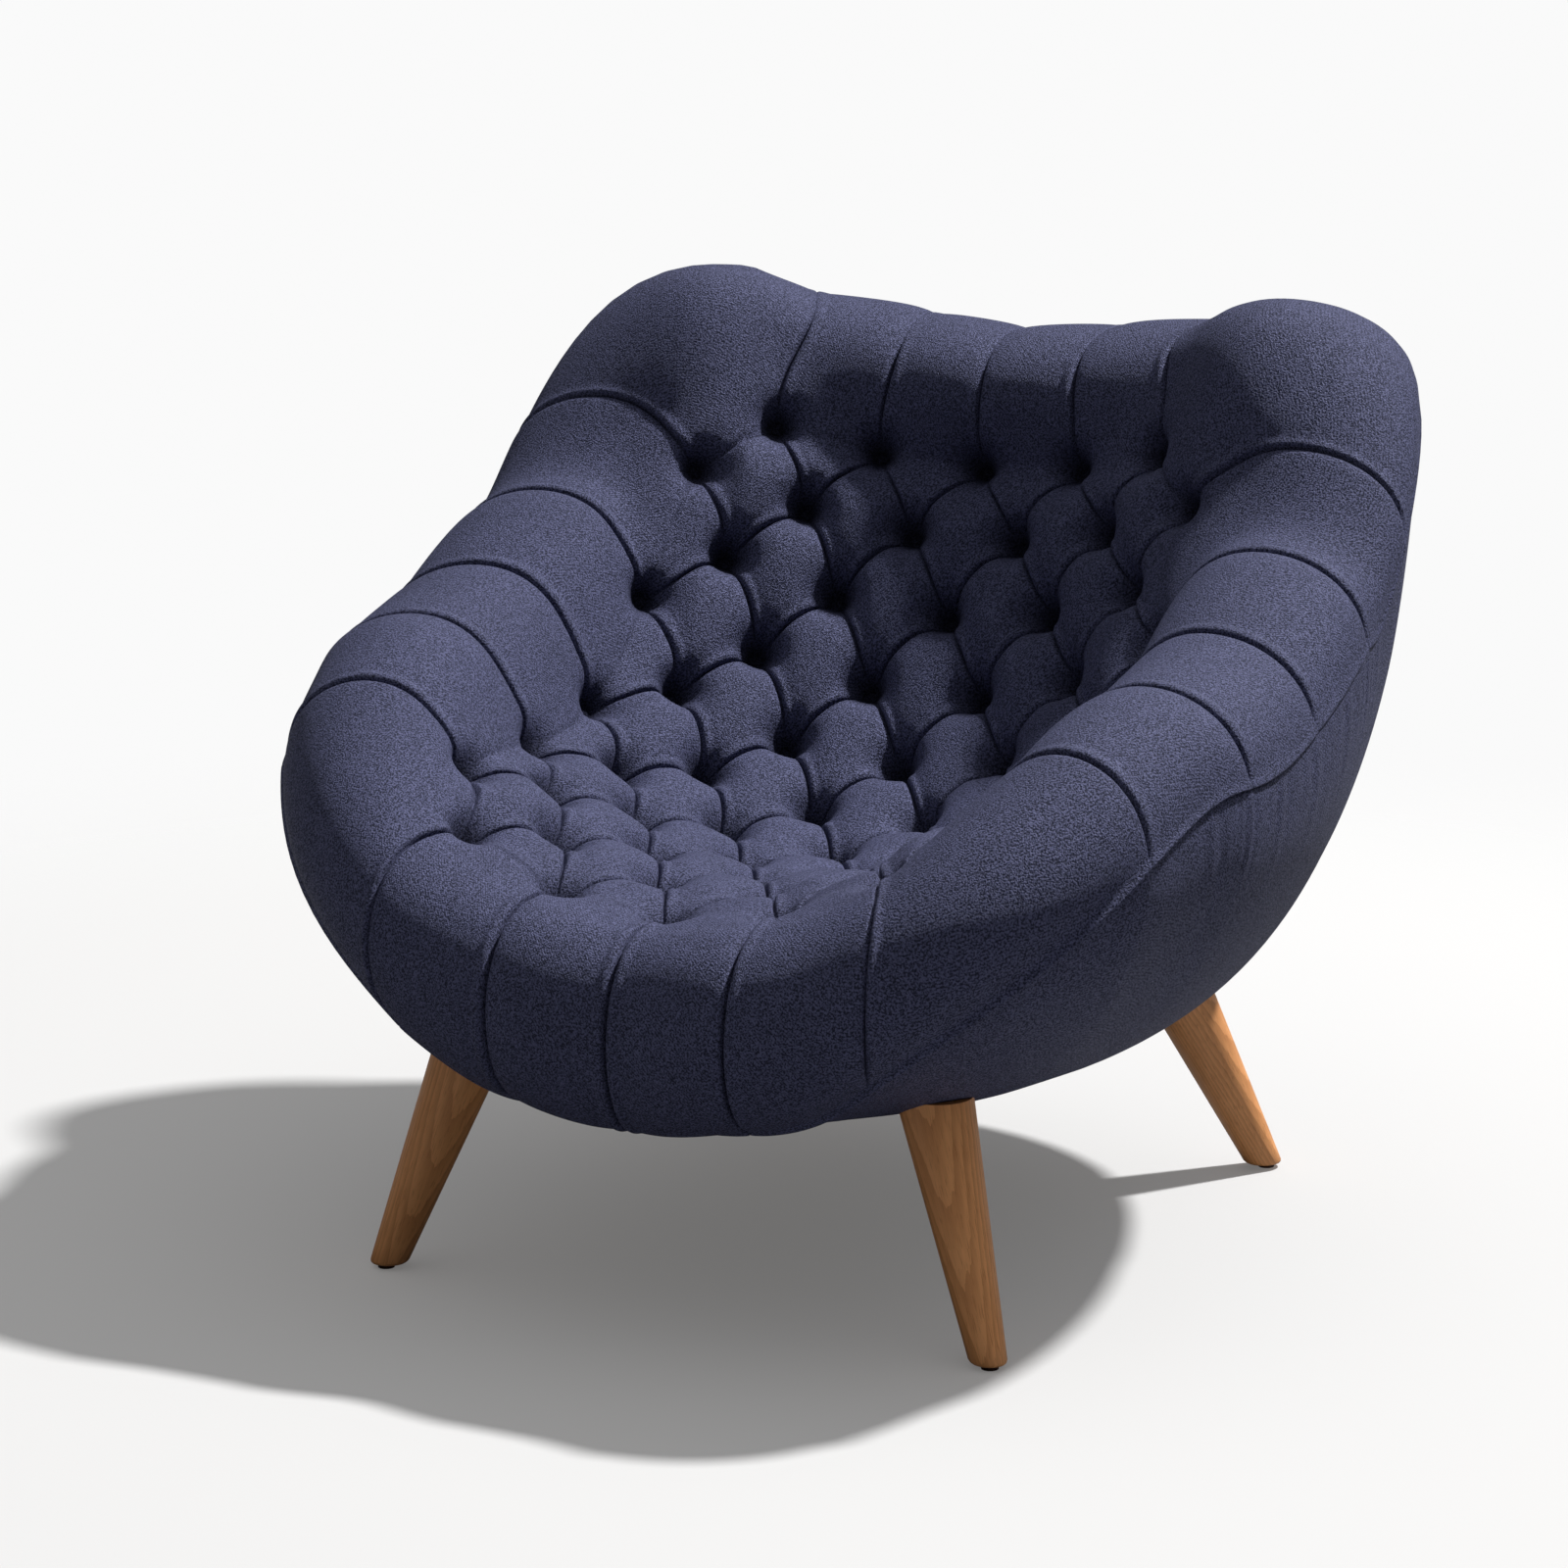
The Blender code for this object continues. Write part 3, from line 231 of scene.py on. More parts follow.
def bowlPoint(k, s, depth):
    k, side = rightHalf(k)
    at = rimValues(k)
    outBy, upBy, wide, high = at["sizes"]
    seam = at["seam"]
    first = (at["start"] + (outBy + wide * np.cos(seam))[..., None] * at["out"]
             + (upBy + high * np.sin(seam))[..., None] * up)
    middle = bowl["centreY"] - chair["middleY"]
    around = np.arctan2(first[..., 1] - middle, first[..., 0])
    last = np.stack([bowl["halfWidth"] * np.cos(around), middle + bowl["halfDepth"] * np.sin(around),
                     bowl["baseHeight"] + 0 * around], -1)
    span = np.linalg.norm(last - first, axis=-1, keepdims=True)
    leave = unit((wide * np.sin(seam))[..., None] * at["out"] - (high * np.cos(seam))[..., None] * up)
    leave = leave * span * bowl["fullness"]
    arrive = unit((last - first) * (1 - up)) * span * bowl["tuck"]
    t = np.asarray(s, float)[..., None]
    speed = ((6 * t ** 2 - 6 * t) * (first - last) + (3 * t ** 2 - 4 * t + 1) * leave
             + (3 * t ** 2 - 2 * t) * arrive)
    inward = unit(np.cross(speed, unit(np.cross(up, arrive))))
    point = hermite(t, first, leave, last, arrive) + inward * np.asarray(depth)[..., None]
    point[..., 0] *= side
    return point


def buttonPlaces():
    # even rows have a button in the middle, odd rows one more
    places = []
    for row in range(chair["rows"] + 1):
        count = int(2 * chair["halfColumns"]) + row % 2
        for column in range(count):
            u = column - (count - 1) / 2
            places.append((u, dish(u, row), dishNormal(u, row)))
    return places


buttons = buttonPlaces()


def meshObject(name, points, faces):
    mesh = bpy.data.meshes.new(name)
    mesh.from_pydata([tuple(point) for point in points], [], [tuple(face) for face in faces])
    mesh.validate()
    shape = bmesh.new()
    shape.from_mesh(mesh)
    bmesh.ops.recalc_face_normals(shape, faces=shape.faces)
    shape.to_mesh(mesh)
    shape.free()
    mesh.shade_smooth()
    piece = bpy.data.objects.new(name, mesh)
    bpy.context.scene.collection.objects.link(piece)
    return piece


def ringFaces(first, rings, columns, closed=False):
    # quads between round rings of points, and from the last ring back to the first when closed
    index = np.arange(columns)
    beside = (index + 1) % columns
    faces = []
    for ring in range(rings if closed else rings - 1):
        near = first + ring * columns
        far = first + (ring + 1) % rings * columns
        faces += np.stack([near + index, near + beside, far + beside, far + index], -1).tolist()
    return faces


def fanFaces(first, columns, tip):
    return [[first + column, first + (column + 1) % columns, tip] for column in range(columns)]


def aimed(direction):
    # the turn that takes Z to a direction, and its two cross axes
    aim = Vector(direction).to_track_quat("Z", "Y").to_matrix()
    return aim, np.array(aim.col[0]), np.array(aim.col[1])


def weaveLayer(piece, weave):
    # weave coordinates in metres, one pair for each point; points past the list take its last pair
    layer = piece.data.uv_layers.new(name="weave")
    loops = np.empty(len(piece.data.loops), int)
    piece.data.loops.foreach_get("vertex_index", loops)
    layer.data.foreach_set("uv", weave[np.minimum(loops, len(weave) - 1)].ravel())


def paintedShadeLayer(piece, shade):
    # stores painted shade: for each point, how far the wool is darkened towards black, standing in for the
    # shade in the button wells
    piece.data.attributes.new("paintedShade", "FLOAT", "POINT").data.foreach_set("value", shade)


# The tufted cover is the buttoned inside and the pleated roll in one skin
tuft = {
    "steps": 32, "rollRows": 60, "backSteps": 4, "backRows": 6,
    "fineShare": 0.22, "finePower": 1.5,      # how much closer the mesh lies beside a pleat
    "rowPower": 1.3,          # rows of the roll lie closer towards the seam
    "pit": 0.024, "line": 0.013, "crown": 0.028, "crownSharpness": 0.50,
    "lean": 0.80,             # under 1, a tuft bulges towards the pleat behind it
    "bow": 0.060, "bowRim": 0.8,      # pleats curve back between two buttons, and less by the rim
    "slot": 0.0045, "slotWidth": 0.0016,
    "fold": 0.0026, "foldWidth": 0.013, "foldEdge": 0.0024, "foldFull": 0.45, "foldStart": 2,
    # the pit's funnel round a button, then the reach and sharpness of the painted shade that darkens the
    # wool towards each button
    "funnel": 0.0195, "funnelSharpness": 1.7, "paintedShade": 0.0175, "paintedShadeSharpness": 2.4,
    "rollPillow": 0.010, "rollEase": 0.32, "rollSharpness": 0.36, "rollLow": 0.60,
    "rollSlot": 0.0055, "rollFold": 0.0030, "rollFoldWidth": 0.015, "rollFoldStart": 0.04,
    "rimCrown": 0.012, "rimReach": 0.9,
    "seamFade": 0.16, "seamPillow": 0.25,     # pleats and pillows fade out towards the seam
    "backFade": 0.85, "backOver": (2.6, 2.2), "backDown": (0.30, 0.46),      # flatter behind the back
    "ear": 0.003, "earBand": (0, 0.12, 0.42, 0.72), "earSharpness": 20,
    "groove": 0.0035, "grooveStart": 0.76, "groovePower": 1.3,      # the roll turns under to its seam
    "grooveBand": (2.0, 3.2, 7.6, 9.2),
    "leanStations": (0, 1, 2, 2.5, 3, 4), "leanShares": (0, 0.14, 0.36, 0.24, 0.03, 0), "leanFull": 0.5,
    "ridge": 0.0022, "ridgeWidth": 0.020, "frontRidge": 0.0034, "frontBand": (6.5, 7.4, 8.8, 9.6),
    "tuckDepths": (0.0020, 0.0050, 0.0090),
    "backDepth": 0.030,
    "weaveRow": 0.07, "weaveRim": 0.15,
}


def spread(t):
    half = np.minimum(t, 1 - t) * 2
    fine = tuft["fineShare"]
    eased = half * (fine + (1 - fine) * half ** tuft["finePower"]) / 2
    return np.where(t <= 0.5, eased, 1 - eased)


def spreadIndex(index, steps):
    index = np.asarray(index)
    return index // steps + spread((index % steps) / steps)


def rimKey(column, steps):
    # the lattice place of a column of the rim
    half = chair["rimHalf"] * steps
    backStart, backEnd = (mark * steps for mark in chair["backCorner"])
    frontStart, frontEnd = (mark * steps for mark in chair["frontCorner"])
    turned = column > half
    folded = np.where(turned, 2 * half - column, column)
    x = np.select([folded <= frontStart, folded <= frontEnd], [folded, frontStart + 0 * folded],
                  frontStart + frontEnd - folded)
    y = np.select([folded <= backStart, folded <= backEnd], [-folded, -backStart + 0 * folded],
                  folded - backStart - backEnd)
    return np.where(turned, y, x), np.where(turned, x, y)


def coverFaces(steps, rollRows):
    # lattice squares, then the strips of the roll from the rim to the seam
    low = chair["backCorner"][0] * steps
    span = np.arange(-low, chair["frontCorner"][0] * steps + 1)
    x, y = np.meshgrid(span, span, indexing="ij")
    inside = abs(x - y) <= 2 * chair["halfColumns"] * steps
    inside &= (x + y >= 0) & (x + y <= chair["rows"] * steps)
    index = np.full(x.shape, -1)
    index[inside] = np.arange(inside.sum())
    corners = np.stack([index[:-1, :-1], index[1:, :-1], index[1:, 1:], index[:-1, 1:]], -1).reshape(-1, 4)
    held = (corners >= 0).sum(1)
    faces = corners[held == 4].tolist()
    faces += [[i for i in square if i >= 0] for square in corners[held == 3].tolist()]
    columns = chair["rimLength"] * steps
    rimX, rimY = rimKey(np.arange(columns), steps)
    rows = np.empty((columns, rollRows + 1), int)
    rows[:, 0] = index[rimX + low, rimY + low]
    rows[:, 1:] = inside.sum() + np.arange(columns * rollRows).reshape(columns, rollRows)
    beside = np.roll(rows, -1, axis=0)
    strips = np.stack([rows[:, :-1], beside[:, :-1], beside[:, 1:], rows[:, 1:]], -1).reshape(-1, 4)
    faces += strips.tolist()
    return x[inside], y[inside], rows, faces


def creaseHeight(fromStart, toEnd, slot, fold, width):
    # a slot at each pleat, and the raised band of the fold before the next one
    folded = band(toEnd, (0, tuft["foldEdge"], tuft["foldFull"] * width, width))
    return (-slot * (np.exp(-(fromStart / tuft["slotWidth"]) ** 2)
                     + np.exp(-(toEnd / tuft["slotWidth"]) ** 2)) + fold * folded)


def nearButton(points):
    far = np.full(len(points), 1.0)
    for _, place, _ in buttons:
        far = np.minimum(far, np.linalg.norm(points - place, axis=1))
    return far


def funnel(points):
    # 0 at a button, 1 away from it
    return 1 - np.exp(-(nearButton(points) / tuft["funnel"]) ** tuft["funnelSharpness"])


def swell(share, lean):
    return np.sin(np.pi * np.clip(share, 0, 1) ** lean)


def fromRim(u, r):
    # how many half pitches or rows the rim is away
    return np.minimum(np.minimum(r, chair["rows"] - r), 2 * (chair["halfColumns"] - abs(u)))


def latticeHeights(a, b, base):
    partA = np.mod(a, 1)
    partB = np.mod(b, 1)
    swellA = swell(partA, tuft["lean"])
    swellB = swell(partB, tuft["lean"])
    u, r = (a - b) / 2, a + b
    inner = smooth(fromRim(u, r) / tuft["rimReach"])
    top = tuft["rimCrown"] + (tuft["crown"] - tuft["rimCrown"]) * inner
    line = np.minimum(tuft["line"], top)
    soft = line + (top - line) * (swellA * swellB) ** tuft["crownSharpness"]
    crease = 0
    small = roll["probe"]
    for part, other, aside in ((partA, swellB, small / 2), (partB, swellA, -small / 2)):
        along = dish(u + aside, r + small) - dish(u - aside, r - small)
        length = np.linalg.norm(along, axis=-1) / (2 * small)
        height = creaseHeight(part * length, (1 - part) * length,
                              tuft["slot"], tuft["fold"], tuft["foldWidth"])
        crease = crease + height * smooth(other * tuft["foldStart"])
    return soft, crease, funnel(base)


def bowed(a, b):
    # pleats bow backwards between their buttons, and lie still at the rim
    partA = np.mod(a, 1)
    partB = np.mod(b, 1)
    still = smooth(fromRim((a - b) / 2, a + b) / tuft["bowRim"]) * tuft["bow"]
    backA = still * np.sin(np.pi * partB) * np.cos(np.pi * partA) ** 2
    backB = still * np.sin(np.pi * partA) * np.cos(np.pi * partB) ** 2
    return a - backA, b - backB


def pleatPlaces(base, steps):
    # metres from the pleat in front and to the pleat behind, and the share of the way between them
    panels = np.linalg.norm(np.roll(base, -1, axis=0) - base, axis=-1)
    panels = panels.reshape(chair["rimLength"], steps, -1)
    fromLeft = np.cumsum(panels, axis=1) - panels
    toRight = panels.sum(1, keepdims=True) - fromLeft
    part = np.broadcast_to(spread(np.arange(steps) / steps)[None, :, None], fromLeft.shape)
    onRight = (np.arange(chair["rimLength"]) < chair["rimHalf"])[:, None, None]
    return [np.where(onRight, right, left).reshape(base.shape[:2])
            for right, left in ((fromLeft, toRight), (toRight, fromLeft), (part, 1 - part))]


def rollHeights(base, steps, folded, s, rimSoft, rimCrease, rimPoints):
    fromStart, toEnd, share = pleatPlaces(base, steps)
    seamFade = smooth((1 - s) / tuft["seamFade"])
    low = tuft["rollPillow"] * (swell(share, tuft["lean"]) ** tuft["rollSharpness"] - tuft["rollLow"])
    low *= tuft["seamPillow"] + (1 - tuft["seamPillow"]) * seamFade
    ease = smooth(s / tuft["rollEase"])
    opening = funnel(base.reshape(-1, 3)).reshape(base.shape[:2])
    height = rimSoft[:, None] * (1 - ease) + low * ease
    height = -tuft["pit"] + (height + tuft["pit"]) * opening
    pleat = creaseHeight(fromStart, toEnd, tuft["rollSlot"], tuft["rollFold"], tuft["rollFoldWidth"])
    over = ramp(folded, *tuft["backOver"]) * ramp(s, *tuft["backDown"]) * tuft["backFade"]
    height += pleat * opening * smooth(s / tuft["rollFoldStart"]) * seamFade * (1 - over)
    height -= np.minimum(low, 0) * over
    earStart, earEnd = chair["backCorner"]
    ear = np.clip(folded - earStart, 0, 1) * (folded < earEnd)
    height += tuft["ear"] * band(s, tuft["earBand"]) * ear * (1 - ear ** tuft["earSharpness"]) * opening
    turnedUnder = ramp(s, tuft["grooveStart"], 1) ** tuft["groovePower"]
    height -= tuft["groove"] * turnedUnder * band(folded, tuft["grooveBand"])
    rimReach = np.linalg.norm(base - rimPoints[:, None, :], axis=-1)
    height += rimCrease[:, None] * np.exp(-(rimReach / tuft["slotWidth"]) ** 2)
    ridge = tuft["ridge"] + tuft["frontRidge"] * band(folded, tuft["frontBand"])
    return height + ridge * np.exp(-((1 - s) / tuft["ridgeWidth"]) ** 2)


def coverPoints(steps, rollRows, depth):
    # a fine skin when depth is None, a plain one under the surface otherwise
    x, y, rows, faces = coverFaces(steps, rollRows)
    a = spreadIndex(x, steps)
    b = spreadIndex(y, steps)
    u, r = (a - b) / 2, a + b
    k = spreadIndex(np.arange(chair["rimLength"] * steps), steps)
    s = 1 - (1 - np.arange(1, rollRows + 1) / rollRows) ** tuft["rowPower"]
    gridK, gridS = np.meshgrid(k, s, indexing="ij")
    folded, side = rightHalf(gridK)
    leaning = np.interp(folded, tuft["leanStations"], tuft["leanShares"])
    gridK = gridK - side * leaning * smooth(gridS / tuft["leanFull"])
    if depth is not None:
        inner = dish(u, r) - dishNormal(u, r) * depth
        outer = rollPoint(gridK, gridS, depth + 0 * gridS)
        return np.concatenate([inner, outer.reshape(-1, 3)]), rows, faces
    flat = dish(u, r)
    soft, crease, opening = latticeHeights(a, b, flat)
    height = (soft + tuft["pit"] + crease) * opening - tuft["pit"]
    bentA, bentB = bowed(a, b)
    u, r = (bentA - bentB) / 2, bentA + bentB
    inner = dish(u, r) + dishNormal(u, r) * height[:, None]
    base = rollPoint(gridK, gridS, 0 * gridS)
    rim = rows[:, 0]
    height = rollHeights(base, steps, folded, gridS, soft[rim], (crease * opening)[rim], inner[rim])
    outer = rollPoint(gridK, gridS, 0 * gridS, height)
    # distances to the nearest button, from which the painted shade in the button wells is made
    paintedShade = np.concatenate([nearButton(flat), nearButton(base.reshape(-1, 3))])
    return np.concatenate([inner, outer.reshape(-1, 3)]), rows, faces, paintedShade


def tuckRows(points, rows, faces, k):
    # the skin's edge turns in under the seam
    last = rows[:, -1]
    seam = points[last]
    folded, side = rightHalf(k)
    inward = -rollNormal(folded, 1 + 0 * folded, 0 * folded)
    inward[:, 0] *= side
    added = []
    for depth in tuft["tuckDepths"]:
        new = len(points) + len(added) * len(seam) + np.arange(len(seam))
        added.append(seam + inward * depth)
        faces += np.stack([last, np.roll(last, -1), np.roll(new, -1), new], -1).tolist()
        last = new
    return np.concatenate([points, *added]), last, faces


def coverWeave(points, rows, steps, k):
    # across and along the lattice, then along and round the roll
    x, y, _, _ = coverFaces(steps, 1)
    a = spreadIndex(x, steps)
    b = spreadIndex(y, steps)
    weave = np.zeros((len(points), 2))
    weave[:len(a), 0] = (a - b) / 2 * chair["pitch"]
    weave[:len(a), 1] = (a + b) * tuft["weaveRow"]
    weave[rows[:, 1:], 0] = (k * tuft["weaveRim"])[:, None]
    weave[rows[:, 1:], 1] = np.linalg.norm(np.diff(points[rows], axis=1), axis=-1).cumsum(1)
    return weave


def tuftedCover():
    steps = tuft["steps"]
    skin, rows, faces, paintedShade = coverPoints(steps, tuft["rollRows"], None)
    k = spreadIndex(np.arange(chair["rimLength"] * steps), steps)
    points, seam, faces = tuckRows(skin, rows, faces, k)
    backSteps = tuft["backSteps"]
    back, backRows, backFaces = coverPoints(backSteps, tuft["backRows"], tuft["backDepth"])
    first = len(points)
    faces += [[first + i for i in face] for face in backFaces]
    # the coarse back joins the fine edge, with several fine points to each of its columns
    ratio = steps // backSteps
    middle = ratio // 2
    edge = first + backRows[:, -1]
    for column in range(len(edge)):
        after = (column + 1) % len(edge)
        chain = [seam[(column * ratio + part) % len(seam)] for part in range(ratio + 1)]
        faces.append([edge[column], edge[after], chain[middle]])
        faces += [[edge[column], far, near] for near, far in zip(chain[:middle], chain[1:])]
        faces += [[edge[after], far, near] for near, far in zip(chain[middle:], chain[middle + 1:])]
    piece = meshObject("tufted_cover", np.concatenate([points, back]), faces)
    weaveLayer(piece, coverWeave(skin, rows, steps, k))
    # painted shade: the wool darkens towards each button, standing in for the shade in the wells; the back
    # and the tuck get none
    shade = np.zeros(len(piece.data.vertices))
    shade[:len(paintedShade)] = np.exp(-(paintedShade / tuft["paintedShade"]) ** tuft["paintedShadeSharpness"])
    paintedShadeLayer(piece, shade)
    return piece


cover = tuftedCover()
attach(cover, "root")
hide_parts("tufted_back_pad", "tufted_seat_pad", "rim_pad_back", "rim_pad_right",
            "rim_pad_front", "rim_pad_left")
print("tufted cover", len(cover.data.polygons), "faces")


# Buttons are domed heads on the tape behind the pad
button = {
    # shade: painted shade, how far the buttons are darkened towards black, as in the shade of their wells
    "lines": 11, "radius": 0.0090, "rise": 0.0050, "seat": -0.0225, "sides": 20, "rings": 6, "shade": 0.9,
    # shank, underside and edge of the head: share of the radius, and height over the seat
    "profile": ((0.35, -0.0085), (0.42, -0.0010), (0.95, -0.0005), (1.0, 0.0008)),
}


def buttonRow(number):
    line = (number - (button["lines"] + 1) / 2) / 2
    edge = button["profile"][-1][1]
    profile = list(button["profile"])
    for ring in range(1, button["rings"]):
        angle = ring / button["rings"] * math.pi / 2
        profile.append((math.cos(angle), edge + button["rise"] * math.sin(angle)))
    sides = button["sides"]
    points, faces = [], []
    for place, normal in ((place, normal) for u, place, normal in buttons if u == line):
        _, acrossX, acrossY = aimed(normal)
        first = len(points)
        for share, above in profile:
            for turn in np.arange(sides) * 2 * math.pi / sides:
                out = acrossX * math.cos(turn) + acrossY * math.sin(turn)
                points.append(place + normal * (button["seat"] + above) + out * share * button["radius"])
        points.append(place + normal * (button["seat"] + edge + button["rise"]))
        faces += ringFaces(first, len(profile), sides)
        faces += fanFaces(first + (len(profile) - 1) * sides, sides, len(points) - 1)
        faces.append([first + side for side in range(sides)])
    piece = meshObject("button_row_" + str(number), points, faces)
    # painted shade: the buttons are darkened nearly to black, as shade in their wells
    paintedShadeLayer(piece, np.full(len(points), button["shade"]))
    return piece


buttonRows = []
for number in range(1, button["lines"] + 1):
    row = buttonRow(number)
    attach(row, "root")
    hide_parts("button_line_" + str(number))
    buttonRows.append(row)
print("button rows", len(buttonRows))


# The outer cover is smooth wool from the seam down to the base
outer = {
    "columns": 640, "rows": 44, "insideStep": 6, "thickness": 0.0035,
    "start": 0.012, "top": 0.004, "tuckTop": 0.002, "tuck": (0.0095, 0.0055, 0.0022), "grooveEnd": 0.22,
    # slight waves below the seam of the arms, as share, number and shift
    "ripple": 0.0006, "waves": ((0.7, 24, 0.6), (1.0, 36.3, 2.1), (0.6, 49.1, 0.0)),
    "rippleBand": (2.5, 4.0, 6.5, 8.0), "rippleStart": 0.05, "rippleFade": 0.16,
    "weaveRow": 0.010, "weaveRim": 0.16,
}


def outerCover():
    columns = outer["columns"]
    k = np.arange(columns) * chair["rimLength"] / columns
    s = np.linspace(outer["start"], 1, outer["rows"])
    gridK, gridS = np.meshgrid(k, s, indexing="ij")
    folded, _ = rightHalf(gridK)
    waves = sum(share * np.sin(folded * count + shift) for share, count, shift in outer["waves"])
    waves *= band(folded, outer["rippleBand"]) * smooth(gridS / outer["rippleStart"])
    ripple = outer["ripple"] * waves * np.exp(-gridS / outer["rippleFade"])
    groove = tuft["groove"] * band(folded, tuft["grooveBand"]) * (1 - smooth(gridS / outer["grooveEnd"]))
    tucked = [bowlPoint(k, outer["tuckTop"] + 0 * k, depth + groove[:, 0]) for depth in outer["tuck"]]
    top = bowlPoint(k, outer["top"] + 0 * k, groove[:, 0])
    outside = bowlPoint(gridK, gridS, groove - ripple)
    few = slice(None, None, outer["insideStep"])
    inside = bowlPoint(gridK[:, few], gridS[:, few], outer["thickness"] + groove[:, few])
    rings = [*tucked, top, *outside.swapaxes(0, 1), *inside[:, ::-1].swapaxes(0, 1)]
    piece = meshObject("outer_cover_skin", np.concatenate(rings),
                       ringFaces(0, len(rings), columns, closed=True))
    weaveLayer(piece, np.stack([np.tile(k * outer["weaveRim"], len(rings)),
                                np.repeat(np.arange(len(rings)) * outer["weaveRow"], columns)], -1))
    return piece


skin = outerCover()
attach(skin, "root")
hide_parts("outer_cover")
print("outer cover", len(skin.data.polygons), "faces")


leg = {
    "spreadX": 0.33002, "frontY": -0.37238, "backY": 0.33557,
    "splayX": 0.331, "frontSplayY": 0.191, "backSplayY": -0.423,
    "footRadius": 0.0175, "topRadius": 0.0370, "low": 0.005, "top": 0.2447,
    "sides": 72, "levels": 14, "sharpDegrees": 35,
    # the foot's rounded edge, as inset and height
    "round": ((0.0036, 0.0), (0.0020, 0.0005), (0.0008, 0.0016), (0.0, 0.0036)),
    "corners": (("front_left", -1, True), ("front_right", 1, True),
                ("back_left", -1, False), ("back_right", 1, False)),
}


def oakLeg(name, side, front):
    # each ring lies level, so the foot and the top are cut flat
    foot = np.array([side * leg["spreadX"], leg["frontY"] if front else leg["backY"], 0.0])
    rise = np.array([-side * leg["splayX"], leg["frontSplayY"] if front else leg["backSplayY"], 1.0])
    aim, acrossX, acrossY = aimed(rise)
    slope = (leg["topRadius"] - leg["footRadius"]) / leg["top"]
    levels = [(leg["low"] + above, inset) for inset, above in leg["round"]]
    start = levels[-1][0]
    levels += [(start + (leg["top"] - start) * step / leg["levels"], 0)
               for step in range(1, leg["levels"] + 1)]
    sides = leg["sides"]
    points = []
    for height, inset in levels:
        for turn in np.arange(sides) * 2 * math.pi / sides:
            out = acrossX * math.cos(turn) + acrossY * math.sin(turn)
            along = (height - out[2] * (leg["footRadius"] - inset)) / (1 + out[2] * slope)
            points.append(foot + rise * along + out * (leg["footRadius"] + slope * along - inset))
    faces = ringFaces(0, len(levels), sides)
    faces += [list(range(sides)), list(range(len(points) - sides, len(points)))]
    place = Matrix.Translation(Vector(foot)) @ aim.to_4x4()
    back = place.inverted()
    piece = meshObject(name, [back @ Vector(point) for point in points], faces)
    piece.data.set_sharp_from_angle(angle=math.radians(leg["sharpDegrees"]))
    piece.matrix_world = place
    return piece


legPieces = {}
for name, side, front in leg["corners"]:
    piece = oakLeg("oak_leg_" + name, side, front)
    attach(piece, "root")
    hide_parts("leg_" + name)
    legPieces[name] = piece
print("legs", len(legPieces))


under = {
    "overlap": 0.008, "top": 0.2096, "thickness": 0.0012, "sag": 0.0030, "columns": 96, "rings": 13,
    "pucker": 0.0003, "puckers": 28, "puckerStart": 0.75,
}


def dustCover():
    columns = under["columns"]
    rings = under["rings"]
    middle = bowl["centreY"] - chair["middleY"]
    across = bowl["halfWidth"] + under["overlap"]
    along = bowl["halfDepth"] + under["overlap"]
    points, faces = [], []
    for layer, puckerSide in enumerate((-1, 1)):
        high = under["top"] - layer * under["thickness"]
        for ring in range(rings):
            share = 1 - ring / rings
            sag = under["sag"] * (1 - share ** 2)
            pucker = under["pucker"] * puckerSide * ramp(share, under["puckerStart"], 1)
            for column in range(columns):
                turn = column * 2 * math.pi / columns
                points.append((across * share * math.cos(turn), middle + along * share * math.sin(turn),
                               high - sag + pucker * math.sin(turn * under["puckers"])))
        points.append((0, middle, high - under["sag"]))
    size = columns * rings + 1
    for first in (0, size):
        faces += ringFaces(first, rings, columns)
        faces += fanFaces(first + (rings - 1) * columns, columns, first + size - 1)
    for column in range(columns):
        beside = (column + 1) % columns
        faces.append([column, beside, size + beside, size + column])
    return meshObject("dust_cloth", points, faces)


dustCloth = dustCover()
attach(dustCloth, "root")
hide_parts("dust_cover")

foam = {
    "steps": 8, "seatRow": 5, "padTop": 0.0336, "padBottom": 0.0740, "padGap": 0.0004,
    "rimDepth": 0.0312, "rail": 0.0150, "rimRows": 10, "columns": 160,
}


def foamPad(name, firstRow, lastRow):
    steps = foam["steps"]
    x, y, _, faces = coverFaces(steps, 1)
    keep = (x + y >= firstRow * steps) & (x + y <= lastRow * steps)
    faces = [face for face in faces if max(face) < len(x) and keep[face].all()]
    new = np.cumsum(keep) - 1
    faces = [[int(new[i]) for i in face] for face in faces]
    total = int(keep.sum())
    u = (x - y)[keep] / steps / 2
    inset = foam["padGap"] / chair["pitch"]
    r = np.clip((x + y)[keep] / steps, firstRow + (inset if firstRow > 0 else 0),
                lastRow - (inset if lastRow < chair["rows"] else 0))
    normal = dishNormal(u, r)
    points = np.concatenate([dish(u, r) - normal * foam[side] for side in ("padTop", "padBottom")])
    # the outline's edges belong to one face only
    edges = set()
    for face in faces:
        for start, end in zip(face, face[1:] + face[:1]):
            if (end, start) in edges:
                edges.remove((end, start))
            else:
                edges.add((start, end))
    both = faces + [[total + i for i in reversed(face)] for face in faces]
    both += [[end, start, total + start, total + end] for start, end in sorted(edges)]
    return meshObject(name, points, both)


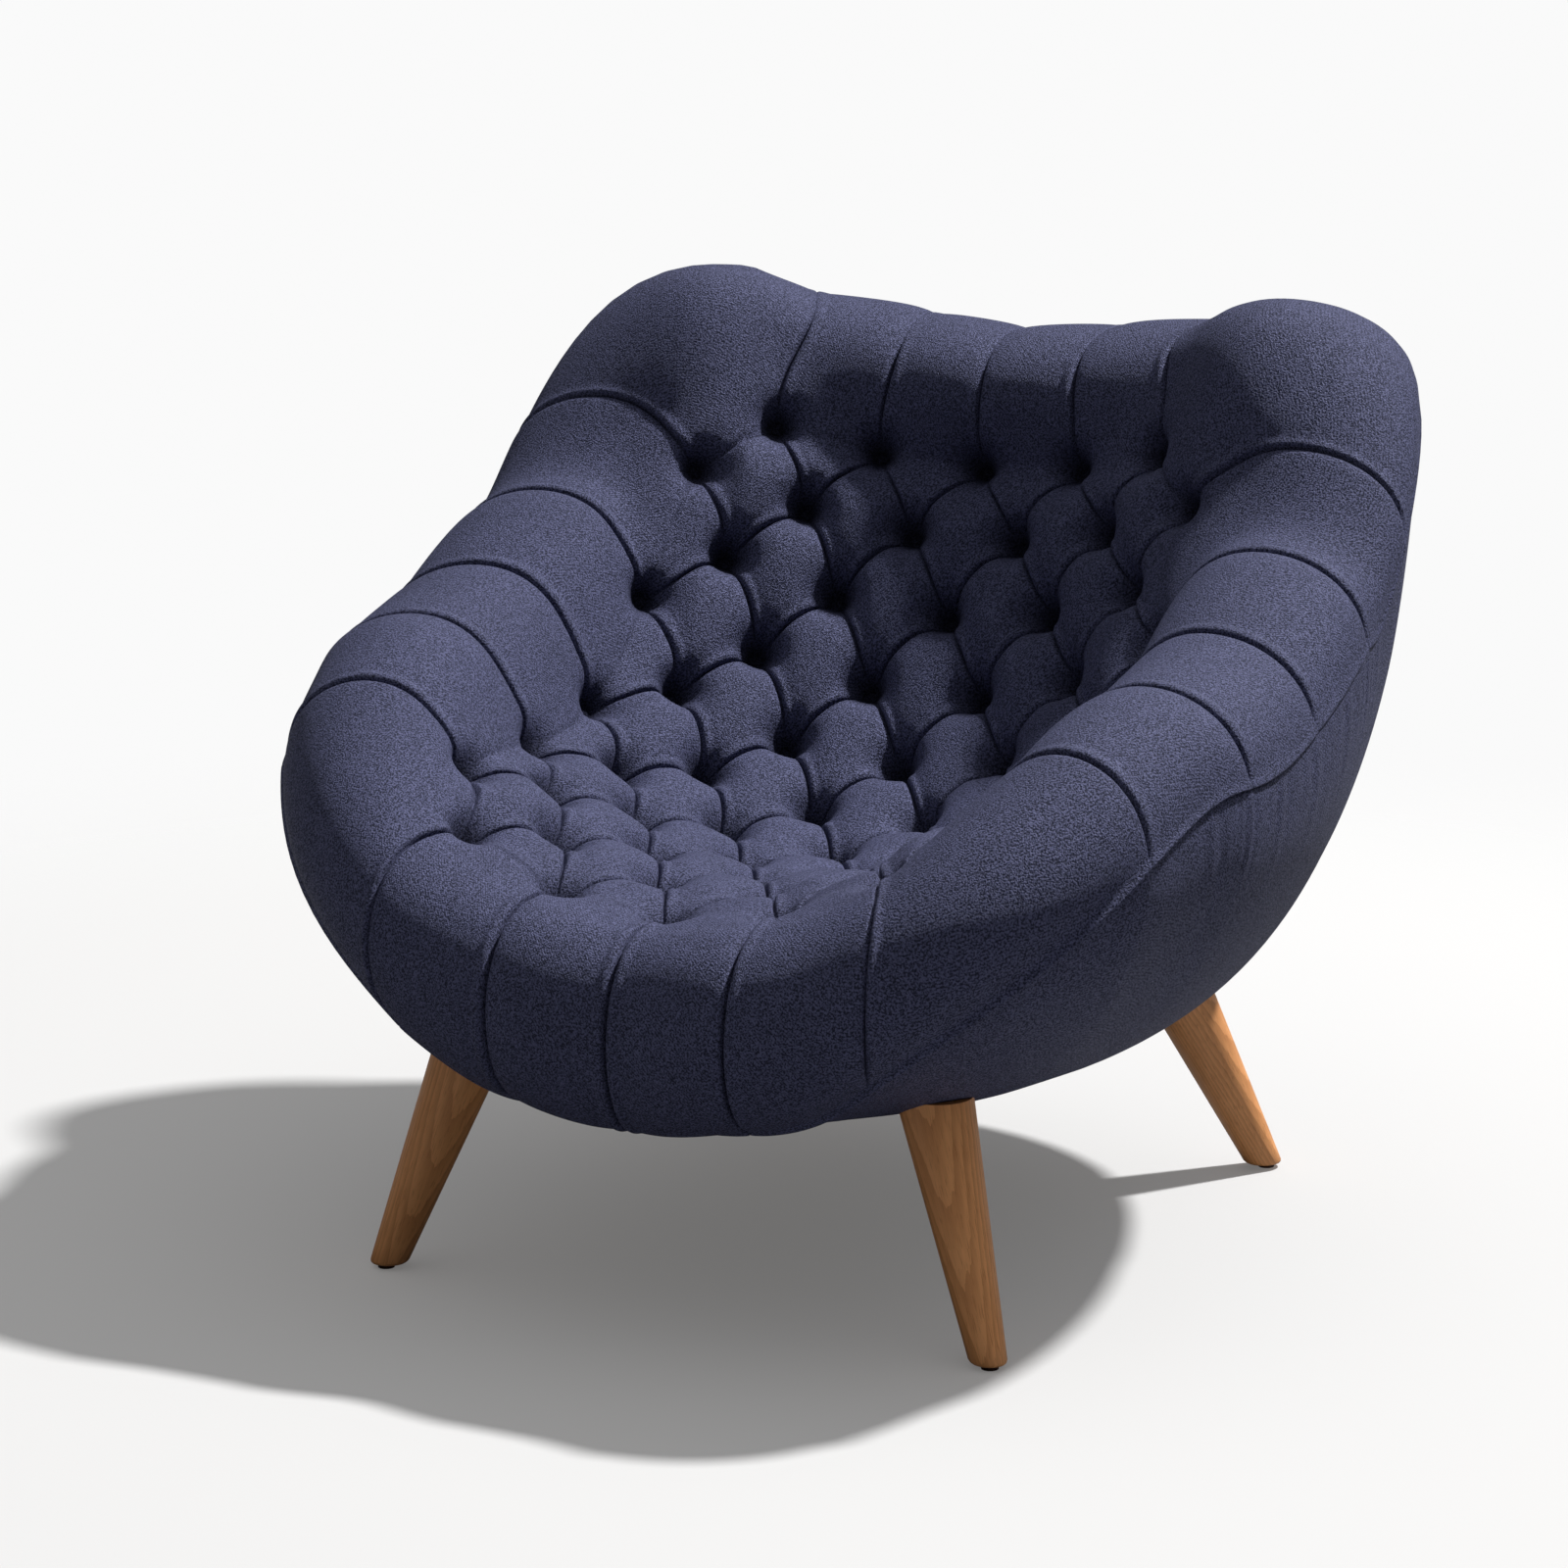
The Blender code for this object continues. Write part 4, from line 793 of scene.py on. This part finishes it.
def rimFoam():
    # a tube between the pad over the roll and the steel in its middle
    columns = foam["columns"]
    k = np.arange(columns) * chair["rimLength"] / columns
    gridK, gridS = np.meshgrid(k, np.linspace(0, 1, foam["rimRows"]), indexing="ij")
    outside = rollPoint(gridK, gridS, foam["rimDepth"] + 0 * gridS)
    folded, side = rightHalf(gridK)
    at = rimValues(folded)
    middle = at["start"] + at["sizes"][0][..., None] * at["out"] + at["sizes"][1][..., None] * up
    middle[..., 0] *= side
    inside = middle + unit(outside - middle) * foam["rail"]
    rings = [*outside.swapaxes(0, 1), *inside[:, ::-1].swapaxes(0, 1)]
    return meshObject("roll_foam", np.concatenate(rings),
                      ringFaces(0, len(rings), columns, closed=True))


foamPieces = {"back_foam": foamPad("back_foam_pad", 0, foam["seatRow"]),
              "seat_foam": foamPad("seat_foam_pad", foam["seatRow"], chair["rows"]),
              "rim_foam": rimFoam()}
for node, piece in foamPieces.items():
    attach(piece, "root")
    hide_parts(node)
print("foam and dust cloth")


class Nodes:
    # adds shader nodes to one tree; an input gets a value, or is joined to another node's socket
    def __init__(self, tree):
        self.tree = tree

    def fill(self, node, inputs):
        for name, value in inputs.items():
            if isinstance(value, bpy.types.NodeSocket):
                self.tree.links.new(value, node.inputs[name])
            else:
                node.inputs[name].default_value = value

    def add(self, kind, inputs=None, **settings):
        node = self.tree.nodes.new(kind)
        for name, value in settings.items():
            setattr(node, name, value)
        self.fill(node, inputs or {})
        return node

    def math(self, operation, first, second):
        return self.add("ShaderNodeMath", {0: first, 1: second}, operation=operation).outputs[0]

    def mix(self, share, first, second, blend="MIX"):
        return self.add("ShaderNodeMix", {0: share, 6: first, 7: second},
                        data_type="RGBA", blend_type=blend).outputs[2]

    def mixShader(self, share, first, second):
        return self.add("ShaderNodeMixShader", {0: share, 1: first, 2: second}).outputs[0]

    def mapRange(self, value, low, high, first=0.0, last=1.0, **settings):
        return self.add("ShaderNodeMapRange", {0: value, 1: low, 2: high, 3: first, 4: last},
                        **settings).outputs[0]

    def noise(self, vector, scale, detail, rough):
        return self.add("ShaderNodeTexNoise", {"Vector": vector, "Scale": scale, "Detail": detail,
                                               "Roughness": rough}).outputs["Fac"]

    def bump(self, height, strength, distance):
        return self.add("ShaderNodeBump", {"Height": height, "Strength": strength,
                                           "Distance": distance}).outputs[0]


def newGroup(name, inputs):
    group = bpy.data.node_groups.new(name, "ShaderNodeTree")
    outputs = {"Colour": "Color", "Height": "Float", "Roughness": "Float"}
    for direction, sockets in (("INPUT", inputs), ("OUTPUT", outputs)):
        for socket, kind in sockets.items():
            group.interface.new_socket(name=socket, in_out=direction, socket_type="NodeSocket" + kind)
    nodes = Nodes(group)
    return group, nodes, nodes.add("NodeGroupInput").outputs


# Noises are given as scale, detail and roughness, and spans as the values they are mapped from and to
noiseSpan = (0.3, 0.7)      # most of a noise lies in it
wool = {
    "dark": (0.006, 0.007, 0.016, 1), "light": (0.092, 0.098, 0.192, 1),
    "fibre": (540, 2.5, 0.62), "fibreSpan": (0.38, 0.62),
    "thread": (1150, 1.0, 0.5), "threadSpan": (0.35, 0.65), "threadShare": 0.30,
    "twill": {"Scale": 165.0, "Distortion": 1.6, "Detail": 1.0, "Detail Scale": 3.0}, "twillShare": 0.25,
    "lightSpan": (0.40, 1.15), "cloud": (9, 3.0, 0.55), "cloudShades": (0.90, 1.08),
    "roughSpan": (0.25, 1.30, 0.78, 0.52), "bump": (0.8, 0.0008),
    # painted shade in the button wells: its near-black colour, and the share of it at a button
    "paintedShadeColour": (0.002, 0.002, 0.004, 1), "paintedShadeShare": 0.85,
    "shader": {"Specular IOR Level": 0.60, "Specular Tint": (0.55, 0.60, 1.0, 1), "IOR": 1.5,
               "Sheen Weight": 0.03, "Sheen Roughness": 0.40, "Sheen Tint": (0.60, 0.66, 1.0, 1)},
}
wood = {
    "stretch": (1, 1, 0.09), "offset": (0.045, 0.012, 0),
    "rings": {"Distortion": 2.2, "Detail": 2.5, "Detail Scale": 1.4, "Detail Roughness": 0.55},
    "ringSpan": (0.20, 1.0, 0.0, 0.50), "ringHeight": -0.3,
    "poreStretch": (1, 1, 0.035), "pore": (900, 2.0, 0.6), "poreSpan": (0.56, 0.68, 0.0, 0.62),
    "fleck": (260, 3.0, 0.6), "fleckShare": 0.26, "broad": (14, 2.0, 0.5), "broadShades": (-0.10, 0.12),
    "roughness": (0.42, 0.56), "bump": (0.35, 0.0004),
    "shader": {"Specular IOR Level": 0.4, "Coat Roughness": 0.35},
}
oak = {
    "dark": (0.52, 0.200, 0.064, 1), "light": (0.93, 0.440, 0.176, 1), "ringScale": 88.0, "coat": 0.08,
    # how each blank was turned before its leg was cut, so that the rings show differently
    "turned": {"front_left": (0.03, 0.02, 3.28), "front_right": (0.02, -0.02, 5.84),
               "back_left": (0.04, 0.03, 4.0), "back_right": (0.02, 0.03, 5.50)},
}
ply = {"dark": (0.42, 0.27, 0.14, 1), "light": (0.68, 0.52, 0.33, 1), "ringScale": 24.0, "coat": 0.0,
       "turned": (1.5, 0.1, 0.2)}
speck = {"fine": (4.0, 0.65), "fineShare": 0.8, "broad": (2.0, 0.5), "coarser": 12,
         "roughShares": (0.85, 1.1), "bump": 0.4}
speckled = {
    "shell": {"name": "glass fibre shell", "dark": (0.36, 0.33, 0.24, 1), "light": (0.58, 0.55, 0.43, 1),
              "scale": 60, "rough": 0.5, "depth": 0.0004, "stretch": (1, 6, 1)},
    "steel": {"name": "zinc steel", "dark": (0.42, 0.43, 0.45, 1), "light": (0.68, 0.69, 0.71, 1),
              "scale": 300, "rough": 0.34, "depth": 0.0001, "stretch": (1, 1, 8), "metallic": 1.0},
    "nylon": {"name": "brown nylon", "dark": (0.030, 0.013, 0.008, 1), "light": (0.075, 0.034, 0.022, 1),
              "scale": 800, "rough": 0.5, "depth": 0.0001},
    "foam": {"name": "grey foam", "dark": (0.30, 0.29, 0.26, 1), "light": (0.55, 0.54, 0.49, 1),
             "scale": 700, "rough": 0.95, "depth": 0.0006},
}
cloth = {"dark": (0.010, 0.010, 0.011, 1), "light": (0.035, 0.035, 0.038, 1), "scale": 90.0,
         "distortion": 0.4, "roughness": (0.95, 0.80), "bump": (0.5, 0.0004)}


def woolGroup():
    # dark and light fibres mixed at random, on a faint twill
    group, nodes, given = newGroup("melange wool", {"Dark": "Color", "Light": "Color"})
    place = nodes.add("ShaderNodeTexCoord").outputs["Object"]
    weave = nodes.add("ShaderNodeUVMap", uv_map="weave").outputs["UV"]
    fibre = nodes.mapRange(nodes.noise(place, *wool["fibre"]), *wool["fibreSpan"])
    thread = nodes.mapRange(nodes.noise(place, *wool["thread"]), *wool["threadSpan"])
    twill = nodes.add("ShaderNodeTexWave", {"Vector": weave, **wool["twill"]}, bands_direction="DIAGONAL")
    height = nodes.math("ADD", fibre, nodes.math("MULTIPLY", thread, wool["threadShare"]))
    height = nodes.math("ADD", height, nodes.math("MULTIPLY", twill.outputs["Fac"], wool["twillShare"]))
    colour = nodes.mix(nodes.mapRange(height, *wool["lightSpan"]), given["Dark"], given["Light"])
    shade = nodes.mapRange(nodes.noise(place, *wool["cloud"]), *noiseSpan, *wool["cloudShades"])
    grey = nodes.mix(shade, (0, 0, 0, 1), (1, 1, 1, 1))
    nodes.add("NodeGroupOutput", {"Colour": nodes.mix(1.0, colour, grey, "MULTIPLY"), "Height": height,
                                  "Roughness": nodes.mapRange(height, *wool["roughSpan"])})
    return group


def grainGroup():
    # growth rings and flecks, with dark pores along the wood
    group, nodes, given = newGroup("wood grain", {"Turn": "Vector", "Dark": "Color", "Light": "Color",
                                                  "Ring Scale": "Float"})
    place = nodes.add("ShaderNodeTexCoord").outputs["Object"]
    place = nodes.add("ShaderNodeMapping", {"Vector": place, "Rotation": given["Turn"]}).outputs[0]
    along = nodes.add("ShaderNodeMapping", {"Vector": place, "Scale": wood["stretch"],
                                            "Location": wood["offset"]}).outputs[0]
    rings = nodes.add("ShaderNodeTexWave", {"Vector": along, "Scale": given["Ring Scale"], **wood["rings"]},
                      wave_type="RINGS", rings_direction="Z", wave_profile="SAW").outputs["Fac"]
    fine = nodes.add("ShaderNodeMapping", {"Vector": place, "Scale": wood["poreStretch"]}).outputs[0]
    pore = nodes.mapRange(nodes.noise(fine, *wood["pore"]), *wood["poreSpan"])
    fleck = nodes.noise(fine, *wood["fleck"])
    broad = nodes.mapRange(nodes.noise(place, *wood["broad"]), *noiseSpan, *wood["broadShades"])
    share = nodes.math("ADD", nodes.mapRange(rings, *wood["ringSpan"]),
                       nodes.math("MULTIPLY", nodes.mapRange(fleck, *noiseSpan), wood["fleckShare"]))
    colour = nodes.mix(nodes.math("ADD", share, broad), given["Light"], given["Dark"])
    height = nodes.math("SUBTRACT", nodes.math("MULTIPLY", rings, wood["ringHeight"]), pore)
    nodes.add("NodeGroupOutput", {"Colour": nodes.mix(pore, colour, given["Dark"]), "Height": height,
                                  "Roughness": nodes.mapRange(fleck, *noiseSpan, *wood["roughness"])})
    return group


def speckGroup():
    # fine specks on broad patches
    group, nodes, given = newGroup("specks", {"Dark": "Color", "Light": "Color", "Scale": "Float",
                                              "Stretch": "Vector", "Rough": "Float"})
    place = nodes.add("ShaderNodeTexCoord").outputs["Object"]
    mapped = nodes.add("ShaderNodeMapping", {"Vector": place, "Scale": given["Stretch"]}).outputs[0]
    fine = nodes.noise(mapped, given["Scale"], *speck["fine"])
    broad = nodes.noise(place, nodes.math("DIVIDE", given["Scale"], speck["coarser"]), *speck["broad"])
    share = nodes.math("ADD", nodes.mapRange(fine, *noiseSpan, 0.0, speck["fineShare"]),
                       nodes.mapRange(broad, *noiseSpan, 0.0, 1 - speck["fineShare"]))
    low, high = (nodes.math("MULTIPLY", given["Rough"], side) for side in speck["roughShares"])
    roughness = nodes.mapRange(fine, *noiseSpan, low, nodes.math("MINIMUM", high, 1.0))
    nodes.add("NodeGroupOutput", {"Colour": nodes.mix(share, given["Dark"], given["Light"]),
                                  "Height": fine, "Roughness": roughness})
    return group


woolNodes = woolGroup()
grainNodes = grainGroup()
speckNodes = speckGroup()


def newMaterial(name):
    material = bpy.data.materials.new(name)
    material.use_nodes = True
    tree = material.node_tree
    return material, Nodes(tree), tree.nodes["Principled BSDF"], tree.nodes["Material Output"]


def groupMaterial(name, group, values, bump, shaderValues):
    # a Principled shader that takes its colour, roughness and height from a shared group
    material, nodes, shader, output = newMaterial(name)
    look = nodes.add("ShaderNodeGroup", values, node_tree=group).outputs
    nodes.fill(shader, {"Base Color": look["Colour"], "Roughness": look["Roughness"],
                        "Normal": nodes.bump(look["Height"], *bump), **shaderValues})
    return material, nodes, shader, output


def woolMaterial(name):
    values = {"Dark": wool["dark"], "Light": wool["light"]}
    material, nodes, shader, output = groupMaterial(name, woolNodes, values, wool["bump"], wool["shader"])
    # painted shade: towards each button the wool is mixed with a near-black diffuse, which stands in for
    # the shade deep in the button wells
    dark = nodes.add("ShaderNodeBsdfDiffuse", {"Color": wool["paintedShadeColour"]}).outputs[0]
    paintedShadeMask = nodes.add("ShaderNodeAttribute", attribute_name="paintedShade").outputs["Fac"]
    share = nodes.math("MULTIPLY", paintedShadeMask, wool["paintedShadeShare"])
    nodes.fill(output, {"Surface": nodes.mixShader(share, shader.outputs[0], dark)})
    return material


def woodMaterial(name, tones, turned):
    values = {"Dark": tones["dark"], "Light": tones["light"], "Ring Scale": tones["ringScale"],
              "Turn": turned}
    return groupMaterial(name, grainNodes, values, wood["bump"],
                         {"Coat Weight": tones["coat"], **wood["shader"]})[0]


def speckMaterial(name, dark, light, scale, rough, depth, stretch=(1, 1, 1), metallic=0.0):
    values = {"Dark": dark, "Light": light, "Scale": scale, "Stretch": stretch, "Rough": rough}
    return groupMaterial(name, speckNodes, values, (speck["bump"], depth), {"Metallic": metallic})[0]


def clothMaterial(name):
    material, nodes, shader, _ = newMaterial(name)
    waves = {"Vector": nodes.add("ShaderNodeTexCoord").outputs["Object"], "Scale": cloth["scale"],
             "Distortion": cloth["distortion"]}
    across, along = (nodes.add("ShaderNodeTexWave", waves, bands_direction=way).outputs["Fac"]
                     for way in ("X", "Y"))
    height = nodes.math("MULTIPLY", across, along)
    nodes.fill(shader, {"Base Color": nodes.mix(height, cloth["dark"], cloth["light"]),
                        "Roughness": nodes.mapRange(height, 0.0, 1.0, *cloth["roughness"]),
                        "Normal": nodes.bump(height, *cloth["bump"])})
    return material


def dress(pieces, material):
    for piece in pieces:
        piece.data.materials.clear()
        piece.data.materials.append(material)


looks = {slot: speckMaterial(**settings) for slot, settings in speckled.items()}
looks["wool"] = woolMaterial("navy melange wool")
looks["ply"] = woodMaterial("birch plywood", ply, ply["turned"])
looks["cloth"] = clothMaterial("black dust cloth")
for name, piece in legPieces.items():
    dress([piece], woodMaterial("oiled oak " + name, oak, oak["turned"][name]))
looks["oak"] = legPieces["front_left"].data.materials[0]
dress([cover, skin, *buttonRows], looks["wool"])
dress([dustCloth], looks["cloth"])
dress(foamPieces.values(), looks["foam"])

# the CAD pieces that stay take the look of their slot
slots = {entry["node"]: entry["material_slot"] for entry in frame["record"]["subparts"]}
for node, piece in frame["nodes"].items():
    for place in piece.material_slots:
        place.material = looks[slots[node]]
print("materials")


studio = {
    "floorSize": 60.0, "floorColour": (0.505, 0.507, 0.510, 1), "floorShade": (0.25, 0.25, 0.25, 1),
    "floorRoughness": 0.9, "floorGlow": 0.145, "glowColour": (1, 0.98, 0.965, 1),
    "floorFade": (1.25, 2.40),      # metres from the chair's middle, where the floor turns into backdrop
    "lightPlace": (2.40, 2.84, 6.16), "lightRadius": 0.21, "lightPower": 59.0,
    "lightColour": (1.0, 0.99, 0.975),
    "fill": 0.60, "fillPower": 1.6, "backdrop": (0.955, 0.955, 0.955, 1),
    "cameraPlace": (2.1222, -4.34307, 1.5643), "azimuth": 26.83, "elevation": 12.97, "lens": 112.5,
    "sensor": 36, "farthest": 200,
}


def makeFloor():
    # the camera sees a white floor that turns into backdrop, while the chair gets a darker floor's bounce
    half = studio["floorSize"] / 2
    corners = [(-half, -half, 0), (half, -half, 0), (half, half, 0), (-half, half, 0)]
    mesh = bpy.data.meshes.new("floor")
    mesh.from_pydata(corners, [], [(0, 1, 2, 3)])
    floor = bpy.data.objects.new("floor", mesh)
    bpy.context.scene.collection.objects.link(floor)
    material, nodes, shader, output = newMaterial("studio floor")
    seen = nodes.add("ShaderNodeLightPath").outputs["Is Camera Ray"]
    nodes.fill(shader, {"Base Color": nodes.mix(seen, studio["floorShade"], studio["floorColour"]),
                        "Emission Strength": nodes.math("MULTIPLY", seen, studio["floorGlow"]),
                        "Emission Color": studio["glowColour"], "Roughness": studio["floorRoughness"],
                        "Specular IOR Level": 0.0})
    place = nodes.add("ShaderNodeTexCoord").outputs["Object"]
    reach = nodes.add("ShaderNodeVectorMath", {0: place}, operation="LENGTH").outputs["Value"]
    fade = nodes.mapRange(reach, *studio["floorFade"], interpolation_type="SMOOTHSTEP")
    clear = nodes.add("ShaderNodeBsdfTransparent").outputs[0]
    share = nodes.math("MULTIPLY", fade, seen)
    nodes.fill(output, {"Surface": nodes.mixShader(share, shader.outputs[0], clear)})
    mesh.materials.append(material)


def makeWorld():
    # a soft light from above, and the backdrop for the camera alone
    world = bpy.data.worlds.new("studio")
    world.use_nodes = True
    world.node_tree.nodes.clear()
    bpy.context.scene.world = world
    nodes = Nodes(world.node_tree)
    way = nodes.add("ShaderNodeTexCoord").outputs["Generated"]
    height = nodes.add("ShaderNodeSeparateXYZ", {0: way}).outputs["Z"]
    above = nodes.math("POWER", nodes.math("MAXIMUM", height, 0.0), studio["fillPower"])
    light = nodes.add("ShaderNodeBackground", {"Color": (1, 1, 1, 1),
                                               "Strength": nodes.math("MULTIPLY", above, studio["fill"])})
    backdrop = nodes.add("ShaderNodeBackground", {"Color": studio["backdrop"], "Strength": 1.0})
    seen = nodes.add("ShaderNodeLightPath").outputs["Is Camera Ray"]
    nodes.add("ShaderNodeOutputWorld",
              {"Surface": nodes.mixShader(seen, light.outputs[0], backdrop.outputs[0])})


def makeLight():
    # the key keeps its level over the whole floor
    lamp = bpy.data.lights.new("key", "POINT")
    lamp.shadow_soft_size = studio["lightRadius"]
    lamp.energy = studio["lightPower"]
    lamp.color = studio["lightColour"]
    lamp.use_nodes = True
    nodes = Nodes(lamp.node_tree)
    level = nodes.add("ShaderNodeLightFalloff", {"Strength": 1.0}).outputs["Constant"]
    nodes.fill(lamp.node_tree.nodes["Emission"], {"Strength": level})
    item = bpy.data.objects.new("key", lamp)
    bpy.context.scene.collection.objects.link(item)
    item.location = studio["lightPlace"]


def makeCamera():
    lens = bpy.data.cameras.new("camera")
    lens.lens = studio["lens"]
    lens.sensor_width = studio["sensor"]
    lens.clip_end = studio["farthest"]
    camera = bpy.data.objects.new("camera", lens)
    bpy.context.scene.collection.objects.link(camera)
    camera.location = studio["cameraPlace"]
    camera.rotation_euler = (math.radians(90 - studio["elevation"]), 0, math.radians(studio["azimuth"]))
    bpy.context.scene.camera = camera


makeFloor()
makeWorld()
makeLight()
makeCamera()
bpy.context.scene.view_settings.view_transform = "Standard"
print("studio")
